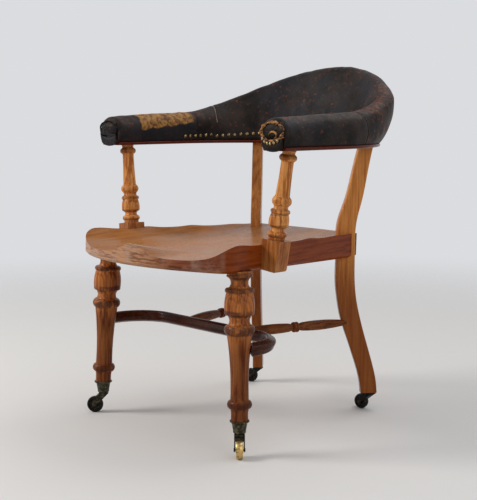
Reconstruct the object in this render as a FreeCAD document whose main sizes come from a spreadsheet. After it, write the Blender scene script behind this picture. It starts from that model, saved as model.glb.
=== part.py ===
import FreeCAD, Part
import math
import os

import Sketcher
from FreeCAD import Placement, Rotation, Vector

# Captain's desk chair on four casters, in millimetres, +Z up.
# The sitter faces -Y and +X is the sitter's left.
# The origin is on the floor, below the middle of the chair.

DIMENSIONS = (
    # seat
    ("seat_height", 449.3, "height of the seat's rim plane above the origin"),
    ("seat_tilt", 1.97, "degrees that the seat falls towards the back"),
    ("seat_thickness", 59.0, "thickness of the seat blank"),
    ("seat_front", 360.0, "middle of the front edge, ahead of the origin"),
    ("seat_corner_x", 253.0, "front corner before it is rounded, from the middle"),
    ("seat_corner_y", 285.0, "front corner before it is rounded, ahead of the origin"),
    ("seat_rear_x", 169.0, "rear corner, from the middle"),
    ("seat_rear_y", 222.0, "rear corner, behind the origin"),
    ("seat_rear", 233.0, "middle of the rear edge, behind the origin"),
    ("seat_corner_round", 40.0, "radius of the front corners in plan"),
    ("seat_edge_ease", 6.0, "chamfer of the lower edge"),
    ("board_joint_left", 45.0, "glue joint between the middle and left boards"),
    ("board_joint_right", 95.0, "glue joint between the middle and right boards"),
    ("dish_depth", 36.0, "depth of the thigh troughs below the rim plane"),
    ("pommel_height", 27.0, "rise of the ridge between the troughs at the front"),
    ("pommel_width", 50.0, "spread of that ridge to each side"),
    ("pommel_x", 18.0, "how far the ridge lies to the sitter's left"),
    ("pommel_length", 0.4, "share of the seat's depth along which the ridge fades"),
    # front legs
    ("leg_foot_x", 245.5, "front leg's axis at the floor, from the middle"),
    ("leg_foot_y", 248.7, "front leg's axis at the floor, ahead of the origin"),
    ("leg_lean_x", 11.6, "inward run of the leg over the height leg_lean_z"),
    ("leg_lean_y", 11.0, "backward run of the leg over the height leg_lean_z"),
    ("leg_lean_z", 281.0, "height that the two runs are measured over"),
    ("leg_top", 401.0, "height of the leg's shoulder inside the seat's recess"),
    ("leg_cap_radius", 27.0, "turned cap below the seat"),
    ("leg_cap_height", 13.0, "height of that cap"),
    ("leg_upper_neck", 21.0, "radius of the neck below the cap"),
    ("leg_ring_radius", 31.5, "thin ring on top of the vase"),
    ("leg_ring_height", 359.5, "height of that ring"),
    ("leg_vase_top", 29.0, "radius at the top of the vase"),
    ("leg_vase_radius", 32.0, "radius at the bottom of the vase"),
    ("leg_vase_height", 309.0, "height of the vase's lower edge"),
    ("leg_lower_neck", 23.5, "radius of the neck below the vase"),
    ("leg_bead_radius", 33.0, "large bead above the tapered shaft"),
    ("leg_bead_height", 275.0, "height of the middle of the large bead"),
    ("leg_bead_half", 9.5, "half of the large bead's height"),
    ("leg_shaft_top", 27.0, "radius at the top of the shaft"),
    ("leg_shaft_foot", 20.0, "radius at the foot of the shaft"),
    ("leg_foot_ring", 26.7, "radius of the ring near the caster"),
    ("leg_foot_ring_height", 114.0, "height of that ring"),
    ("leg_ankle", 18.6, "radius between that ring and the caster cup"),
    ("leg_tenon_radius", 13.0, "tenon in the seat"),
    ("leg_tenon_length", 30.0, "length of that tenon"),
    # arm posts
    ("post_foot_x", 242.0, "post's axis at its lower end, from the middle"),
    ("post_foot_y", 148.3, "post's axis at its lower end, ahead of the origin"),
    ("post_foot_z", 394.0, "height of the post's lower end"),
    ("post_top_x", 277.5, "post's axis under the rail, from the middle"),
    ("post_top_y", 133.0, "post's axis under the rail, ahead of the origin"),
    ("post_block", 46.0, "side of the post's square block"),
    ("post_block_height", 69.0, "length of the square block"),
    ("post_bead_radius", 20.8, "bead on the square block"),
    ("post_vase_radius", 22.0, "radius at the bottom of the post's vase"),
    ("post_ring_radius", 21.4, "radius of the two rings above the vase"),
    ("post_neck_radius", 15.8, "radius of the coves"),
    ("post_shaft_top", 13.7, "radius at the top of the shaft"),
    ("post_top_ring", 19.3, "ring below the rail"),
    ("post_tenon_radius", 9.0, "tenon in the rail"),
    ("post_tenon_length", 14.0, "length of that tenon"),
    # rear legs
    ("rear_leg_x", 153.8, "sawn leg's middle at the seat, from the middle"),
    ("rear_leg_y", 195.6, "sawn leg's middle at the seat, behind the origin"),
    ("rear_leg_turn", 40.0, "degrees that the leg's plane stands out from +Y"),
    ("rear_leg_thickness", 26.0, "thickness of the sawn plank"),
    ("rear_leg_foot", 45.0, "height of the leg's lower end above the floor"),
    ("rear_leg_edge", 4.0, "radius of the leg's long edges"),
    ("rear_leg_tenon", 16.0, "side of the tenon in the rail"),
    ("rear_leg_tenon_length", 12.0, "length of that tenon"),
    # stretchers
    ("hoop_height", 230.0, "middle of the bent hoop above the floor"),
    ("hoop_back_y", 107.0, "back of the hoop, ahead of the origin"),
    ("hoop_bulge", 250.0, "widest reach of the hoop, from the middle"),
    ("hoop_corner", 95.0, "radius of the hoop's corners"),
    ("hoop_thickness", 26.0, "side of the hoop's section"),
    ("hoop_edge", 8.0, "rounding of the hoop's section"),
    ("hoop_tenon_radius", 8.0, "hoop's tenon in the front leg"),
    ("stretcher_height", 222.0, "side stretcher's axis at the rear leg"),
    ("stretcher_front_x", 95.0, "side stretcher's axis at the hoop, from the middle"),
    ("stretcher_tenon_stop", 6.0, "from the rear leg's middle to the stretcher's tenon"),
    ("stretcher_end_radius", 7.0, "side stretcher's ends"),
    ("stretcher_swell_radius", 11.5, "side stretcher's swell"),
    ("stretcher_bead_radius", 12.5, "side stretcher's double bead"),
    ("stretcher_tenon_radius", 5.5, "side stretcher's tenons"),
    # rail
    ("rail_height", 654.6, "underside of the horseshoe rail"),
    ("rail_radius", 281.0, "radius of the horseshoe's middle line"),
    ("rail_centre_y", 15.0, "centre of the horseshoe, behind the origin"),
    ("rail_front", 181.0, "front end of the arms, ahead of the origin"),
    ("rail_half", 34.0, "half width of the rail's lower moulding"),
    ("rail_core_half", 30.0, "half width of the rail inside the leather"),
    ("rail_moulding", 8.4, "height of the lower moulding"),
    ("rail_thickness", 21.4, "whole thickness of the rail"),
    ("rail_scarf", 48.0, "degrees from the back's middle to the rail's joints"),
    # leather
    ("pad_half", 33.0, "half width of the leather where it meets the moulding"),
    ("arm_pad_top", 725.0, "height of the arm pads at their front"),
    ("arm_pad_rise", 10.0, "rise of the arm pads from their front to the seam"),
    ("arm_pad_bulge", 41.0, "half width of the arm pads at their fullest"),
    ("arm_pad_nose", 12.0, "length of the arm pads' rounded front"),
    ("arm_pad_draw", 0.2, "share by which the arm pads are drawn in at the front"),
    ("back_pad_top", 851.0, "height of the back's middle"),
    ("back_pad_lean", 43.0, "how far the back's top lies outside the rail's line"),
    ("back_pad_bulge", 61.0, "how far the back's outside reaches at its middle height"),
    ("back_pad_half", 22.0, "half thickness of the back near its top"),
    ("back_pad_hollow", 12.0, "how far the back's inside stays within the rail's line"),
    ("pad_seam", 78.0, "degrees from the back's middle to the seam with the arms"),
    ("facing_half_width", 28.5, "half width of the oval facing"),
    ("facing_half_height", 16.5, "half height of the oval facing"),
    ("facing_height", 695.0, "height of the facing's middle"),
    ("facing_thickness", 3.0, "thickness of the facing"),
    ("piping_radius", 2.6, "radius of the welt round the facing"),
    # casters
    ("front_wheel_radius", 20.0, "front caster wheel"),
    ("rear_wheel_radius", 18.5, "rear caster wheel"),
    ("wheel_width", 16.0, "width of each wheel"),
    ("front_trail", 21.0, "front wheel's axle behind its swivel axis"),
    ("rear_trail", 20.0, "rear wheel's axle behind its swivel axis"),
    ("front_horn_top", 50.0, "top of the front caster's horn"),
    ("rear_horn_top", 41.5, "top of the rear caster's horn"),
    ("horn_radius", 10.5, "radius of the horn's bearing disc"),
    ("horn_cheek", 2.8, "thickness of the horn's two cheeks"),
    ("axle_radius", 2.6, "radius of the wheel's axle"),
    ("pin_radius", 4.0, "radius of the swivel pin"),
    ("pin_head_radius", 7.0, "radius of the swivel pin's riveted head"),
    ("cup_top", 79.3, "height of the cup's flange"),
    ("cup_flange_radius", 21.5, "radius of the cup's flange"),
    ("cup_radius", 16.8, "cup's outer radius below the flange"),
    ("cup_foot_radius", 13.8, "cup's outer radius at its lower end"),
    ("cup_wall", 1.8, "thickness of the cup's wall"),
    ("cup_floor", 3.0, "thickness of the cup's floor"),
    ("plate_thickness", 3.0, "thickness of the rear caster plates"),
    ("plate_length", 38.0, "length of the rear caster plates"),
    ("plate_width", 24.0, "width of the rear caster plates"),
    # clearances
    ("joint_gap", 0.2, "gap round a glued tenon or in a notch"),
    ("seat_gap", 0.3, "gap between leather or casters and what carries them"),
    ("running_gap", 0.06, "radial gap of a turning fit"),
    ("wheel_gap", 0.8, "gap between a wheel and its horn"),
)

NAMES_LEFT_RIGHT = (("left", 1.0), ("right", -1.0))

doc = FreeCAD.newDocument("CaptainsChair")
sheet = doc.addObject("Spreadsheet::Sheet", "Dimensions")
for row, (alias, number, note) in enumerate(DIMENSIONS, start=1):
    sheet.set("A%d" % row, note)
    sheet.set("B%d" % row, str(number))
    sheet.setAlias("B%d" % row, alias)
doc.recompute()


class Size:
    """A number of the sheet, or a sum of them, with the text that binds it."""

    def __init__(self, text, number):
        self.text = text
        self.number = number

    def joined(self, sign, other, number):
        return Size("(%s %s %s)" % (self.text, sign, other.text), number)

    def __float__(self):
        return self.number

    def __add__(self, other):
        other = as_size(other)
        return self.joined("+", other, self.number + other.number)

    def __sub__(self, other):
        other = as_size(other)
        return self.joined("-", other, self.number - other.number)

    def __mul__(self, other):
        other = as_size(other)
        return self.joined("*", other, self.number * other.number)

    def __truediv__(self, other):
        other = as_size(other)
        return self.joined("/", other, self.number / other.number)

    def __radd__(self, other):
        return as_size(other) + self

    def __rsub__(self, other):
        return as_size(other) - self

    def __rmul__(self, other):
        return as_size(other) * self

    def __neg__(self):
        return as_size(0) - self


def as_size(thing):
    if isinstance(thing, Size):
        return thing
    return Size("(%.6f)" % thing, float(thing))


class Sizes:
    """The sheet's aliases as attributes."""

    def __getattr__(self, alias):
        return Size("Dimensions.%s" % alias, float(getattr(sheet, alias)))


d = Sizes()


def bind(thing, **properties):
    """Binds properties of a document object to sizes."""
    for name, amount in properties.items():
        setattr(thing, name, float(amount))
        if isinstance(amount, Size):
            thing.setExpression(name, amount.text)


def place(thing, x=0, y=0, z=0, rotation=None):
    """Binds the base of a placement and sets its rotation."""
    thing.Placement = Placement(Vector(float(x), float(y), float(z)), rotation or Rotation())
    for axis, amount in (("x", x), ("y", y), ("z", z)):
        if isinstance(amount, Size):
            thing.setExpression("Placement.Base." + axis, amount.text)


def new_body(name):
    return doc.addObject("PartDesign::Body", name)


def sketch_in(body, name, role, offset=0):
    """A sketch on one of the body's origin planes, at an offset along its normal."""
    sketch = body.newObject("Sketcher::SketchObject", name)
    plane = [item for item in body.Origin.OriginFeatures if item.Role == role][0]
    sketch.AttachmentSupport = [(plane, "")]
    sketch.MapMode = "FlatFace"
    if isinstance(offset, Size) or offset:
        sketch.AttachmentOffset = Placement(Vector(0, 0, float(offset)), Rotation())
        sketch.setExpression("AttachmentOffset.Base.z", as_size(offset).text)
    return sketch


def constrain(sketch, kind, *places):
    """Adds a constraint whose last entry is a size, and binds it."""
    amount = as_size(places[-1])
    index = sketch.addConstraint(Sketcher.Constraint(kind, *places[:-1], amount.number))
    sketch.setExpression("Constraints[%d]" % index, amount.text)


def outline(sketch, corners):
    """Draws a closed outline through corners (x, y, bulge).

    The bulge is the rise of the arc from that corner to the next, to the right of the
    way there, or 0 for a straight line.
    """
    points = [Vector(float(x), float(y), 0) for x, y, bulge in corners]
    ends = []
    for index, (x, y, bulge) in enumerate(corners):
        start = points[index]
        end = points[(index + 1) % len(points)]
        if float(bulge) == 0:
            edge = sketch.addGeometry(Part.LineSegment(start, end), False)
            ends.append((edge, 1, 2))
            continue
        chord = end - start
        side = Vector(chord.y, -chord.x, 0).normalize()
        middle = (start + end) * 0.5 + side * float(bulge)
        edge = sketch.addGeometry(Part.Arc(start, middle, end), False)
        forward = (sketch.getPoint(edge, 1) - start).Length < 1e-6
        ends.append((edge, 1, 2) if forward else (edge, 2, 1))
    for index, (x, y, bulge) in enumerate(corners):
        edge, first, last = ends[index]
        next_edge, next_first, next_last = ends[(index + 1) % len(corners)]
        sketch.addConstraint(Sketcher.Constraint("Coincident", edge, last, next_edge, next_first))
        constrain(sketch, "DistanceX", -1, 1, edge, first, x)
        constrain(sketch, "DistanceY", -1, 1, edge, first, y)
        if float(bulge) == 0:
            continue
        next_x, next_y, next_bulge = corners[(index + 1) % len(corners)]
        run = as_size(next_x) - x
        rise = as_size(next_y) - y
        depth = as_size(bulge) if float(bulge) > 0 else -as_size(bulge)
        constrain(sketch, "Radius", edge, (run * run + rise * rise) / (8 * depth) + depth / 2)


def circle(sketch, x, y, radius):
    """Draws a bound circle."""
    edge = sketch.addGeometry(
        Part.Circle(Vector(float(x), float(y), 0), Vector(0, 0, 1), float(radius)), False)
    constrain(sketch, "DistanceX", -1, 1, edge, 3, x)
    constrain(sketch, "DistanceY", -1, 1, edge, 3, y)
    constrain(sketch, "Radius", edge, radius)


def revolve(body, name, corners, angle=360):
    """Turns a profile of (radius, height, bulge) about the body's Z axis."""
    sketch = sketch_in(body, name + "Profile", "XZ_Plane")
    outline(sketch, corners)
    turned = body.newObject("PartDesign::Revolution", name)
    turned.Profile = sketch
    turned.ReferenceAxis = (sketch, ["V_Axis"])
    bind(turned, Angle=angle)
    return turned


def pad(body, sketch, name, length, both_ways=False, backwards=False):
    thing = body.newObject("PartDesign::Pad", name)
    thing.Profile = sketch
    thing.Midplane = both_ways
    thing.Reversed = backwards
    bind(thing, Length=length)
    return thing


def pocket(body, sketch, name, length, both_ways=False, backwards=False):
    thing = body.newObject("PartDesign::Pocket", name)
    thing.Profile = sketch
    thing.Midplane = both_ways
    thing.Reversed = backwards
    bind(thing, Length=length)
    doc.recompute()
    before = thing.BaseFeature.Shape.Volume
    if before - thing.Shape.Volume < 1e-3:
        raise ValueError("%s cuts nothing" % name)
    return thing


def cylinder(name, radius, height, x=0, y=0, z=0, rotation=None):
    thing = doc.addObject("Part::Cylinder", name)
    bind(thing, Radius=radius, Height=height)
    place(thing, x, y, z, rotation)
    return thing


def box(name, length, width, height, x=0, y=0, z=0, rotation=None):
    thing = doc.addObject("Part::Box", name)
    bind(thing, Length=length, Width=width, Height=height)
    place(thing, x, y, z, rotation)
    return thing


def fuse(name, shapes):
    thing = doc.addObject("Part::MultiFuse", name)
    thing.Shapes = shapes
    return thing


def cut(name, base, tools):
    """Cuts one tool, or the union of several, out of the base."""
    thing = doc.addObject("Part::Cut", name)
    thing.Base = base
    thing.Tool = tools[0] if len(tools) == 1 else fuse(name + "Tools", tools)
    return thing


def mirrored(name, source):
    """The same piece on the sitter's other side."""
    thing = doc.addObject("Part::Mirroring", name)
    thing.Source = source
    thing.Base = Vector(0, 0, 0)
    thing.Normal = Vector(1, 0, 0)
    return thing


def solid(name, shape):
    """A piece whose form is a loft or a sweep."""
    thing = doc.addObject("Part::Feature", name)
    thing.Shape = shape
    return thing


def label(thing, name):
    """Names a finished sub-part."""
    thing.Label = name
    SUB_PARTS.append(thing)


SUB_PARTS = []
UP = Vector(0, 0, 1)


# The turned front legs

def leg_rotation():
    axis = Vector(-float(d.leg_lean_x), float(d.leg_lean_y), float(d.leg_lean_z))
    return Rotation(UP, axis)


def leg_point(height):
    """The point of the left front leg's axis at a height above the floor."""
    share = height / d.leg_lean_z
    return d.leg_foot_x - d.leg_lean_x * share, d.leg_lean_y * share - d.leg_foot_y, height


def leg_placed(thing):
    place(thing, d.leg_foot_x, -d.leg_foot_y, 0, leg_rotation())
    return thing


def front_leg():
    """A turned leg with a plumb foot inside the caster cup."""
    ring = d.leg_ring_height
    vase = d.leg_vase_height
    bead = d.leg_bead_height
    foot = d.leg_foot_ring_height
    body = new_body("FrontLegTurning")
    revolve(body, "FrontLegTurned", (
        (0, d.cup_top - 8, 0),
        (d.leg_ankle, d.cup_top - 8, 0),
        (d.leg_ankle, foot - 18, 0),
        (d.leg_ankle + 1.5, foot - 9, 0),
        (d.leg_foot_ring - 3, foot - 8, 3.4),
        (d.leg_foot_ring - 3, foot + 8, 0),
        (d.leg_shaft_foot, foot + 10, -3),
        (d.leg_shaft_top, bead - d.leg_bead_half - 3, 0),
        (d.leg_shaft_top, bead - d.leg_bead_half, 0),
        (d.leg_bead_radius - 4, bead - d.leg_bead_half, 4.2),
        (d.leg_bead_radius - 4, bead + d.leg_bead_half, 0),
        (d.leg_lower_neck + 1, bead + d.leg_bead_half + 2, -2.5),
        (d.leg_lower_neck + 1, vase - 6, -1.2),
        (d.leg_vase_radius - 3, vase - 2, 1.2),
        (d.leg_vase_radius, vase + 3, 2.2),
        (d.leg_vase_top, ring - 6, 0),
        (d.leg_ring_radius - 2.5, ring - 5, 2.6),
        (d.leg_ring_radius - 2.5, ring + 5, 0),
        (d.leg_upper_neck + 2, ring + 6.5, -5),
        (d.leg_cap_radius - 2, d.leg_top - d.leg_cap_height, 2),
        (d.leg_cap_radius, d.leg_top - d.leg_cap_height + 5, 0),
        (d.leg_cap_radius, d.leg_top, 0),
        (d.leg_tenon_radius, d.leg_top, 0),
        (d.leg_tenon_radius, d.leg_top + d.leg_tenon_length, 0),
        (0, d.leg_top + d.leg_tenon_length, 0),
    ))
    leg_placed(body)
    x, y, z = leg_point(d.cup_top)
    square = 2 * d.cup_flange_radius + 20
    below = box("FrontLegBelowCup", square, square, 30, x - square / 2, y - square / 2, z - 30)
    trimmed = cut("FrontLegTrimmed", body, [below])
    foot_piece = new_body("FrontLegFoot")
    inside = d.cup_radius - d.cup_wall - d.seat_gap
    inside_end = d.cup_foot_radius - d.cup_wall - d.seat_gap
    foot_end = d.front_horn_top + d.seat_gap + d.cup_floor + 6
    revolve(foot_piece, "FrontLegFootCone", (
        (0, foot_end, 0),
        (inside_end, foot_end, 0),
        (inside, d.cup_top - 1, 0),
        (inside, d.cup_top + 1, 0),
        (0, d.cup_top + 1, 0),
    ))
    place(foot_piece, x, y, 0)
    whole = fuse("FrontLegWhole", [trimmed, foot_piece])
    hole = leg_hoop_hole("FrontLegHoopHole", d.hoop_tenon_radius + d.joint_gap, 20)
    return cut("FrontLeg", whole, [hole])


def leg_hoop_hole(name, radius, depth):
    """A level round bar from the hoop's end into the leg's middle."""
    x, y, z = leg_point(d.hoop_height)
    toward = hoop_end_direction()
    rotation = Rotation(UP, toward)
    reach = d.leg_shaft_top + depth
    return cylinder(name, radius, reach, x - 4 * toward.x, y - 4 * toward.y, z, rotation)


# The bent hoop between the front legs

def hoop_arcs():
    """Corner centre and the hoop's end point, on the sitter's left."""
    centre_x = float(d.hoop_bulge - d.hoop_corner)
    centre_y = -float(d.hoop_back_y + d.hoop_corner)
    leg_x, leg_y, leg_z = (float(c) for c in leg_point(d.hoop_height))
    offset = Vector(leg_x - centre_x, leg_y - centre_y, 0)
    return Vector(centre_x, centre_y, 0), offset.normalize()


def hoop_end_direction():
    """The level direction in which the hoop leaves the left front leg."""
    centre, toward_leg = hoop_arcs()
    return Vector(-toward_leg.y, toward_leg.x, 0)


def hoop_path(height):
    """The hoop's middle line: two corner arcs and a straight back."""
    radius = float(d.hoop_corner)
    centre, toward_leg = hoop_arcs()
    lift = Vector(0, 0, height)
    start = centre + toward_leg * radius + lift
    corner = centre + Vector(radius, 0, 0) + lift
    shoulder = centre + Vector(0, radius, 0) + lift
    flip = Vector(-1, 1, 1)
    other = [Vector(p.x * flip.x, p.y, p.z) for p in (shoulder, corner, start)]
    return Part.Wire([
        Part.Arc(start, corner, shoulder).toShape(),
        Part.LineSegment(shoulder, other[0]).toShape(),
        Part.Arc(other[0], other[1], other[2]).toShape(),
    ])


def rounded_square(side, radius, place_at):
    """A square wire with rounded corners, in its own XY plane and then placed."""
    half = side / 2
    flat = half - radius
    bow = radius * (1 - math.sqrt(0.5))
    edges = []
    for quarter in range(4):
        turn = Rotation(UP, 90 * quarter)
        a = turn.multVec(Vector(half, -flat, 0))
        b = turn.multVec(Vector(half, flat, 0))
        m = turn.multVec(Vector(half - bow, half - bow, 0))
        c = turn.multVec(Vector(flat, half, 0))
        edges.append(Part.LineSegment(a, b).toShape())
        edges.append(Part.Arc(b, m, c).toShape())
    wire = Part.Wire(edges)
    wire.Placement = place_at
    return wire


def hoop():
    """A steam-bent bar coped to the legs, with a tenon in each."""
    path = hoop_path(float(d.hoop_height))
    centre, toward_leg = hoop_arcs()
    start = centre + toward_leg * float(d.hoop_corner) + Vector(0, 0, float(d.hoop_height))
    section = rounded_square(
        float(d.hoop_thickness), float(d.hoop_edge),
        Placement(start, Rotation(UP, hoop_end_direction())))
    bar = solid("HoopBar", path.makePipeShell([section], True, True))
    copes = []
    for side, sign in NAMES_LEFT_RIGHT:
        cope = cylinder("HoopCope" + side, d.leg_bead_radius - 6 + d.joint_gap, 120)
        x, y, z = leg_point(d.hoop_height - 60)
        axis = Vector(-sign * float(d.leg_lean_x), float(d.leg_lean_y), float(d.leg_lean_z))
        place(cope, sign * x, y, z, Rotation(UP, axis))
        copes.append(cope)
    coped = cut("HoopCoped", bar, copes)
    tenon = leg_hoop_hole("HoopTenonLeft", d.hoop_tenon_radius, 16)
    hoop_bar = fuse("HoopTenoned", [coped, tenon, mirrored("HoopTenonRight", tenon)])
    holes = stretcher_tools("Hoop", d.stretcher_tenon_radius + d.joint_gap)
    return cut("Hoop", hoop_bar, holes)


# The turned side stretchers

def stretcher_ends():
    """Where the left stretcher's axis meets the middles of the hoop and the rear leg."""
    front = Vector(float(d.stretcher_front_x), -float(d.hoop_back_y), float(d.hoop_height))
    out = rear_leg_direction()
    rear = Vector(float(d.rear_leg_x), float(d.rear_leg_y), 0)
    rear = rear + out * rear_leg_middle(float(d.stretcher_height))
    rear.z = float(d.stretcher_height)
    return front, rear


def stretcher_tools(name, radius):
    """Level bars along both stretchers' axes, for the hoop's holes."""
    front, rear = stretcher_ends()
    axis = rear - front
    tool = cylinder(name + "StretcherHole", radius, 60)
    start = front - axis * (4 / axis.Length)
    place(tool, start.x, start.y, start.z, Rotation(UP, axis))
    return [tool, mirrored(name + "StretcherHoleRight", tool)]


def side_stretcher():
    """A spindle with two swells and a double bead, coped to the rear leg."""
    front, rear = stretcher_ends()
    axis = rear - front
    whole = axis.Length
    slope = axis.x / axis.y
    first = d.hoop_thickness / 2 * (whole / axis.y) + d.stretcher_end_radius * slope + d.joint_gap
    last = whole - rear_leg_depth(float(d.stretcher_height)) / 2
    middle = (first + last) / 2
    end = d.stretcher_end_radius
    swell = d.stretcher_swell_radius
    bead = d.stretcher_bead_radius
    tenon = d.stretcher_tenon_radius
    body = new_body("SideStretcherTurning")
    revolve(body, "SideStretcherTurned", (
        (0, -3, 0),
        (tenon, -3, 0),
        (tenon, first, 0),
        (end, first, 3.2),
        (swell - 1, middle - 22, 0.6),
        (swell - 4.5, middle - 9, 0),
        (swell - 4.5, middle - 8, 0),
        (bead - 2.5, middle - 7.5, 2.6),
        (bead - 2.5, middle, 2.6),
        (bead - 2.5, middle + 7.5, 0),
        (swell - 4.5, middle + 8, 0),
        (swell - 4.5, middle + 9, 0.6),
        (swell - 1, middle + 22, 3.2),
        (end, last, 0),
        (0, last, 0),
    ))
    place(body, front.x, front.y, front.z, Rotation(UP, axis))
    leg = rear_leg_placed(solid("StretcherCope", rear_leg_plank(float(d.joint_gap))))
    coped = cut("SideStretcherCoped", body, [leg])
    tenon_bar = stretcher_rear_bar("StretcherRearTenon", tenon, d.stretcher_tenon_stop)
    return fuse("SideStretcher", [coped, tenon_bar])


def stretcher_rear_bar(name, radius, stop):
    """A bar along the stretcher's axis that ends short of the rear leg's middle."""
    front, rear = stretcher_ends()
    axis = rear - front
    length = 60
    start = rear - axis * (length / axis.Length)
    return cylinder(name, radius, length - stop, start.x, start.y, start.z, Rotation(UP, axis))


# The sawn rear legs, in a plane that stands out from the back

# Heights above the floor with the front and back edge's reach at each.
REAR_LEG_EDGES = (
    (45.0, 42.5, 82.5),
    (90.0, 36.0, 77.0),
    (135.0, 22.5, 65.5),
    (180.0, 7.5, 52.5),
    (230.0, -9.0, 39.0),
    (280.0, -18.5, 28.5),
    (325.0, -23.0, 24.0),
    (400.0, -22.0, 23.5),
    (470.0, -19.5, 26.5),
    (520.0, -3.0, 38.5),
    (590.0, 14.5, 52.0),
    (654.6, 30.0, 65.0),
)


def rear_leg_direction():
    """The level direction in which the left rear leg's plane stands out."""
    turn = math.radians(float(d.rear_leg_turn))
    return Vector(math.sin(turn), math.cos(turn), 0)


def rear_leg_heights():
    """The edges' heights, stretched to the foot and the rail."""
    low = REAR_LEG_EDGES[0][0]
    high = REAR_LEG_EDGES[-1][0]
    foot = float(d.rear_leg_foot)
    stretch = (float(d.rail_height) - foot) / (high - low)
    return [(foot + (z - low) * stretch, front, back) for z, front, back in REAR_LEG_EDGES]


def rear_leg_curve(which, height):
    """The reach of an edge at a height, between the points beside it."""
    rows = rear_leg_heights()
    for lower, upper in zip(rows, rows[1:]):
        if height <= upper[0]:
            break
    share = (height - lower[0]) / (upper[0] - lower[0])
    return lower[which] + (upper[which] - lower[which]) * share


def rear_leg_middle(height):
    return (rear_leg_curve(1, height) + rear_leg_curve(2, height)) / 2


def rear_leg_depth(height):
    return rear_leg_curve(2, height) - rear_leg_curve(1, height)


def rear_leg_plank(extra):
    """The leg's outline sawn out of the plank, larger by a gap all round."""
    rows = rear_leg_heights()
    front = Part.BSplineCurve()
    front.interpolate([Vector(reach - extra, 0, z) for z, reach, back in rows])
    back = Part.BSplineCurve()
    back.interpolate([Vector(reach + extra, 0, z) for z, fore, reach in rows])
    edges = [
        front.toShape(),
        Part.LineSegment(front.EndPoint, back.EndPoint).toShape(),
        back.toShape(),
        Part.LineSegment(back.StartPoint, front.StartPoint).toShape(),
    ]
    face = Part.Face(Part.Wire(edges))
    thickness = float(d.rear_leg_thickness) + 2 * extra
    face.translate(Vector(0, -thickness / 2, 0))
    return face.extrude(Vector(0, thickness, 0))


def rear_leg_placed(thing):
    """Turns the plank's plane outwards and stands it at the seat's corner."""
    place(thing, d.rear_leg_x, d.rear_leg_y, 0, Rotation(UP, 90 - float(d.rear_leg_turn)))
    return thing


def rear_leg():
    """A sabre leg from the floor to the rail, with a tenon and a hole for the caster's pin."""
    plank = rear_leg_plank(0)
    long_edges = [
        edge for edge in plank.Edges
        if edge.BoundBox.ZLength > 300
    ]
    rounded = plank.makeFillet(float(d.rear_leg_edge), long_edges)
    leg = rear_leg_placed(solid("RearLegPlank", rounded))
    tenon = rear_tenon("RearLegTenon", 0)
    x, y = rear_caster_point(1.0)
    pin_hole = cylinder("RearLegPinHole", d.pin_head_radius + 1, 8, x, y, d.rear_leg_foot)
    hole = stretcher_rear_bar(
        "RearLegStretcherHole", d.stretcher_tenon_radius + d.joint_gap,
        d.stretcher_tenon_stop - d.joint_gap)
    return cut("RearLeg", fuse("RearLegTenoned", [leg, tenon]), [pin_hole, hole])


def rear_tenon(name, extra):
    """The leg's square tenon in the rail, or its mortise when larger by a gap."""
    side = d.rear_leg_tenon + 2 * extra
    out = rear_leg_direction()
    reach = rear_leg_middle(float(d.rail_height)) - float(side) / 2
    across = Vector(out.y, -out.x, 0) * (float(side) / 2)
    corner_x = d.rear_leg_x + (out.x * reach + across.x)
    corner_y = d.rear_leg_y + (out.y * reach + across.y)
    turn = Rotation(UP, 90 - float(d.rear_leg_turn))
    height = d.rear_leg_tenon_length + 1 + extra
    return box(name, side, side, height, corner_x, corner_y, d.rail_height - 1, turn)


def rear_caster_point(sign):
    """The swivel axis below a rear leg's foot."""
    out = rear_leg_direction()
    reach = rear_leg_middle(float(d.rear_leg_foot))
    return sign * (d.rear_leg_x + out.x * reach), d.rear_leg_y + out.y * reach


# The square and turned arm posts

def post_axis():
    return Vector(
        float(d.post_top_x - d.post_foot_x),
        float(d.post_foot_y - d.post_top_y),
        float(d.rail_height - d.post_foot_z))


def seat_side_angle():
    """Degrees that the seat's left side leans in from +Y."""
    run = float(d.seat_corner_x - d.seat_rear_x)
    return math.degrees(math.atan2(run, float(d.seat_corner_y + d.seat_rear_y)))


def post_rotation():
    """Leans the post and turns its block to the seat's side."""
    return Rotation(UP, post_axis()) * Rotation(UP, seat_side_angle())


def post_placed(thing):
    place(thing, d.post_foot_x, -d.post_foot_y, d.post_foot_z, post_rotation())
    return thing


def post_block(name, extra, round_end):
    """The square block, or the notch for it when larger by a gap."""
    half = d.post_block / 2 + extra
    body = new_body(name)
    sketch = sketch_in(body, name + "Square", "XY_Plane", -as_size(extra))
    outline(sketch, ((half, -half, 0), (half, half, 0), (-half, half, 0), (-half, -half, 0)))
    block = pad(body, sketch, name + "Pad", d.post_block_height + extra)
    if round_end:
        doc.recompute()
        round_over = body.newObject("PartDesign::Fillet", name + "Round")
        low = lowest_edges(block.Shape)
        round_over.Base = (block, low)
        bind(round_over, Radius=6)
    return post_placed(body)


def lowest_edges(shape):
    """Names of the edges in the lowest face of a shape."""
    floor = min(vertex.Point.z for vertex in shape.Vertexes)
    names = []
    for index, edge in enumerate(shape.Edges, start=1):
        if all(abs(vertex.Point.z - floor) < 1e-4 for vertex in edge.Vertexes):
            names.append("Edge%d" % index)
    return names


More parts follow.
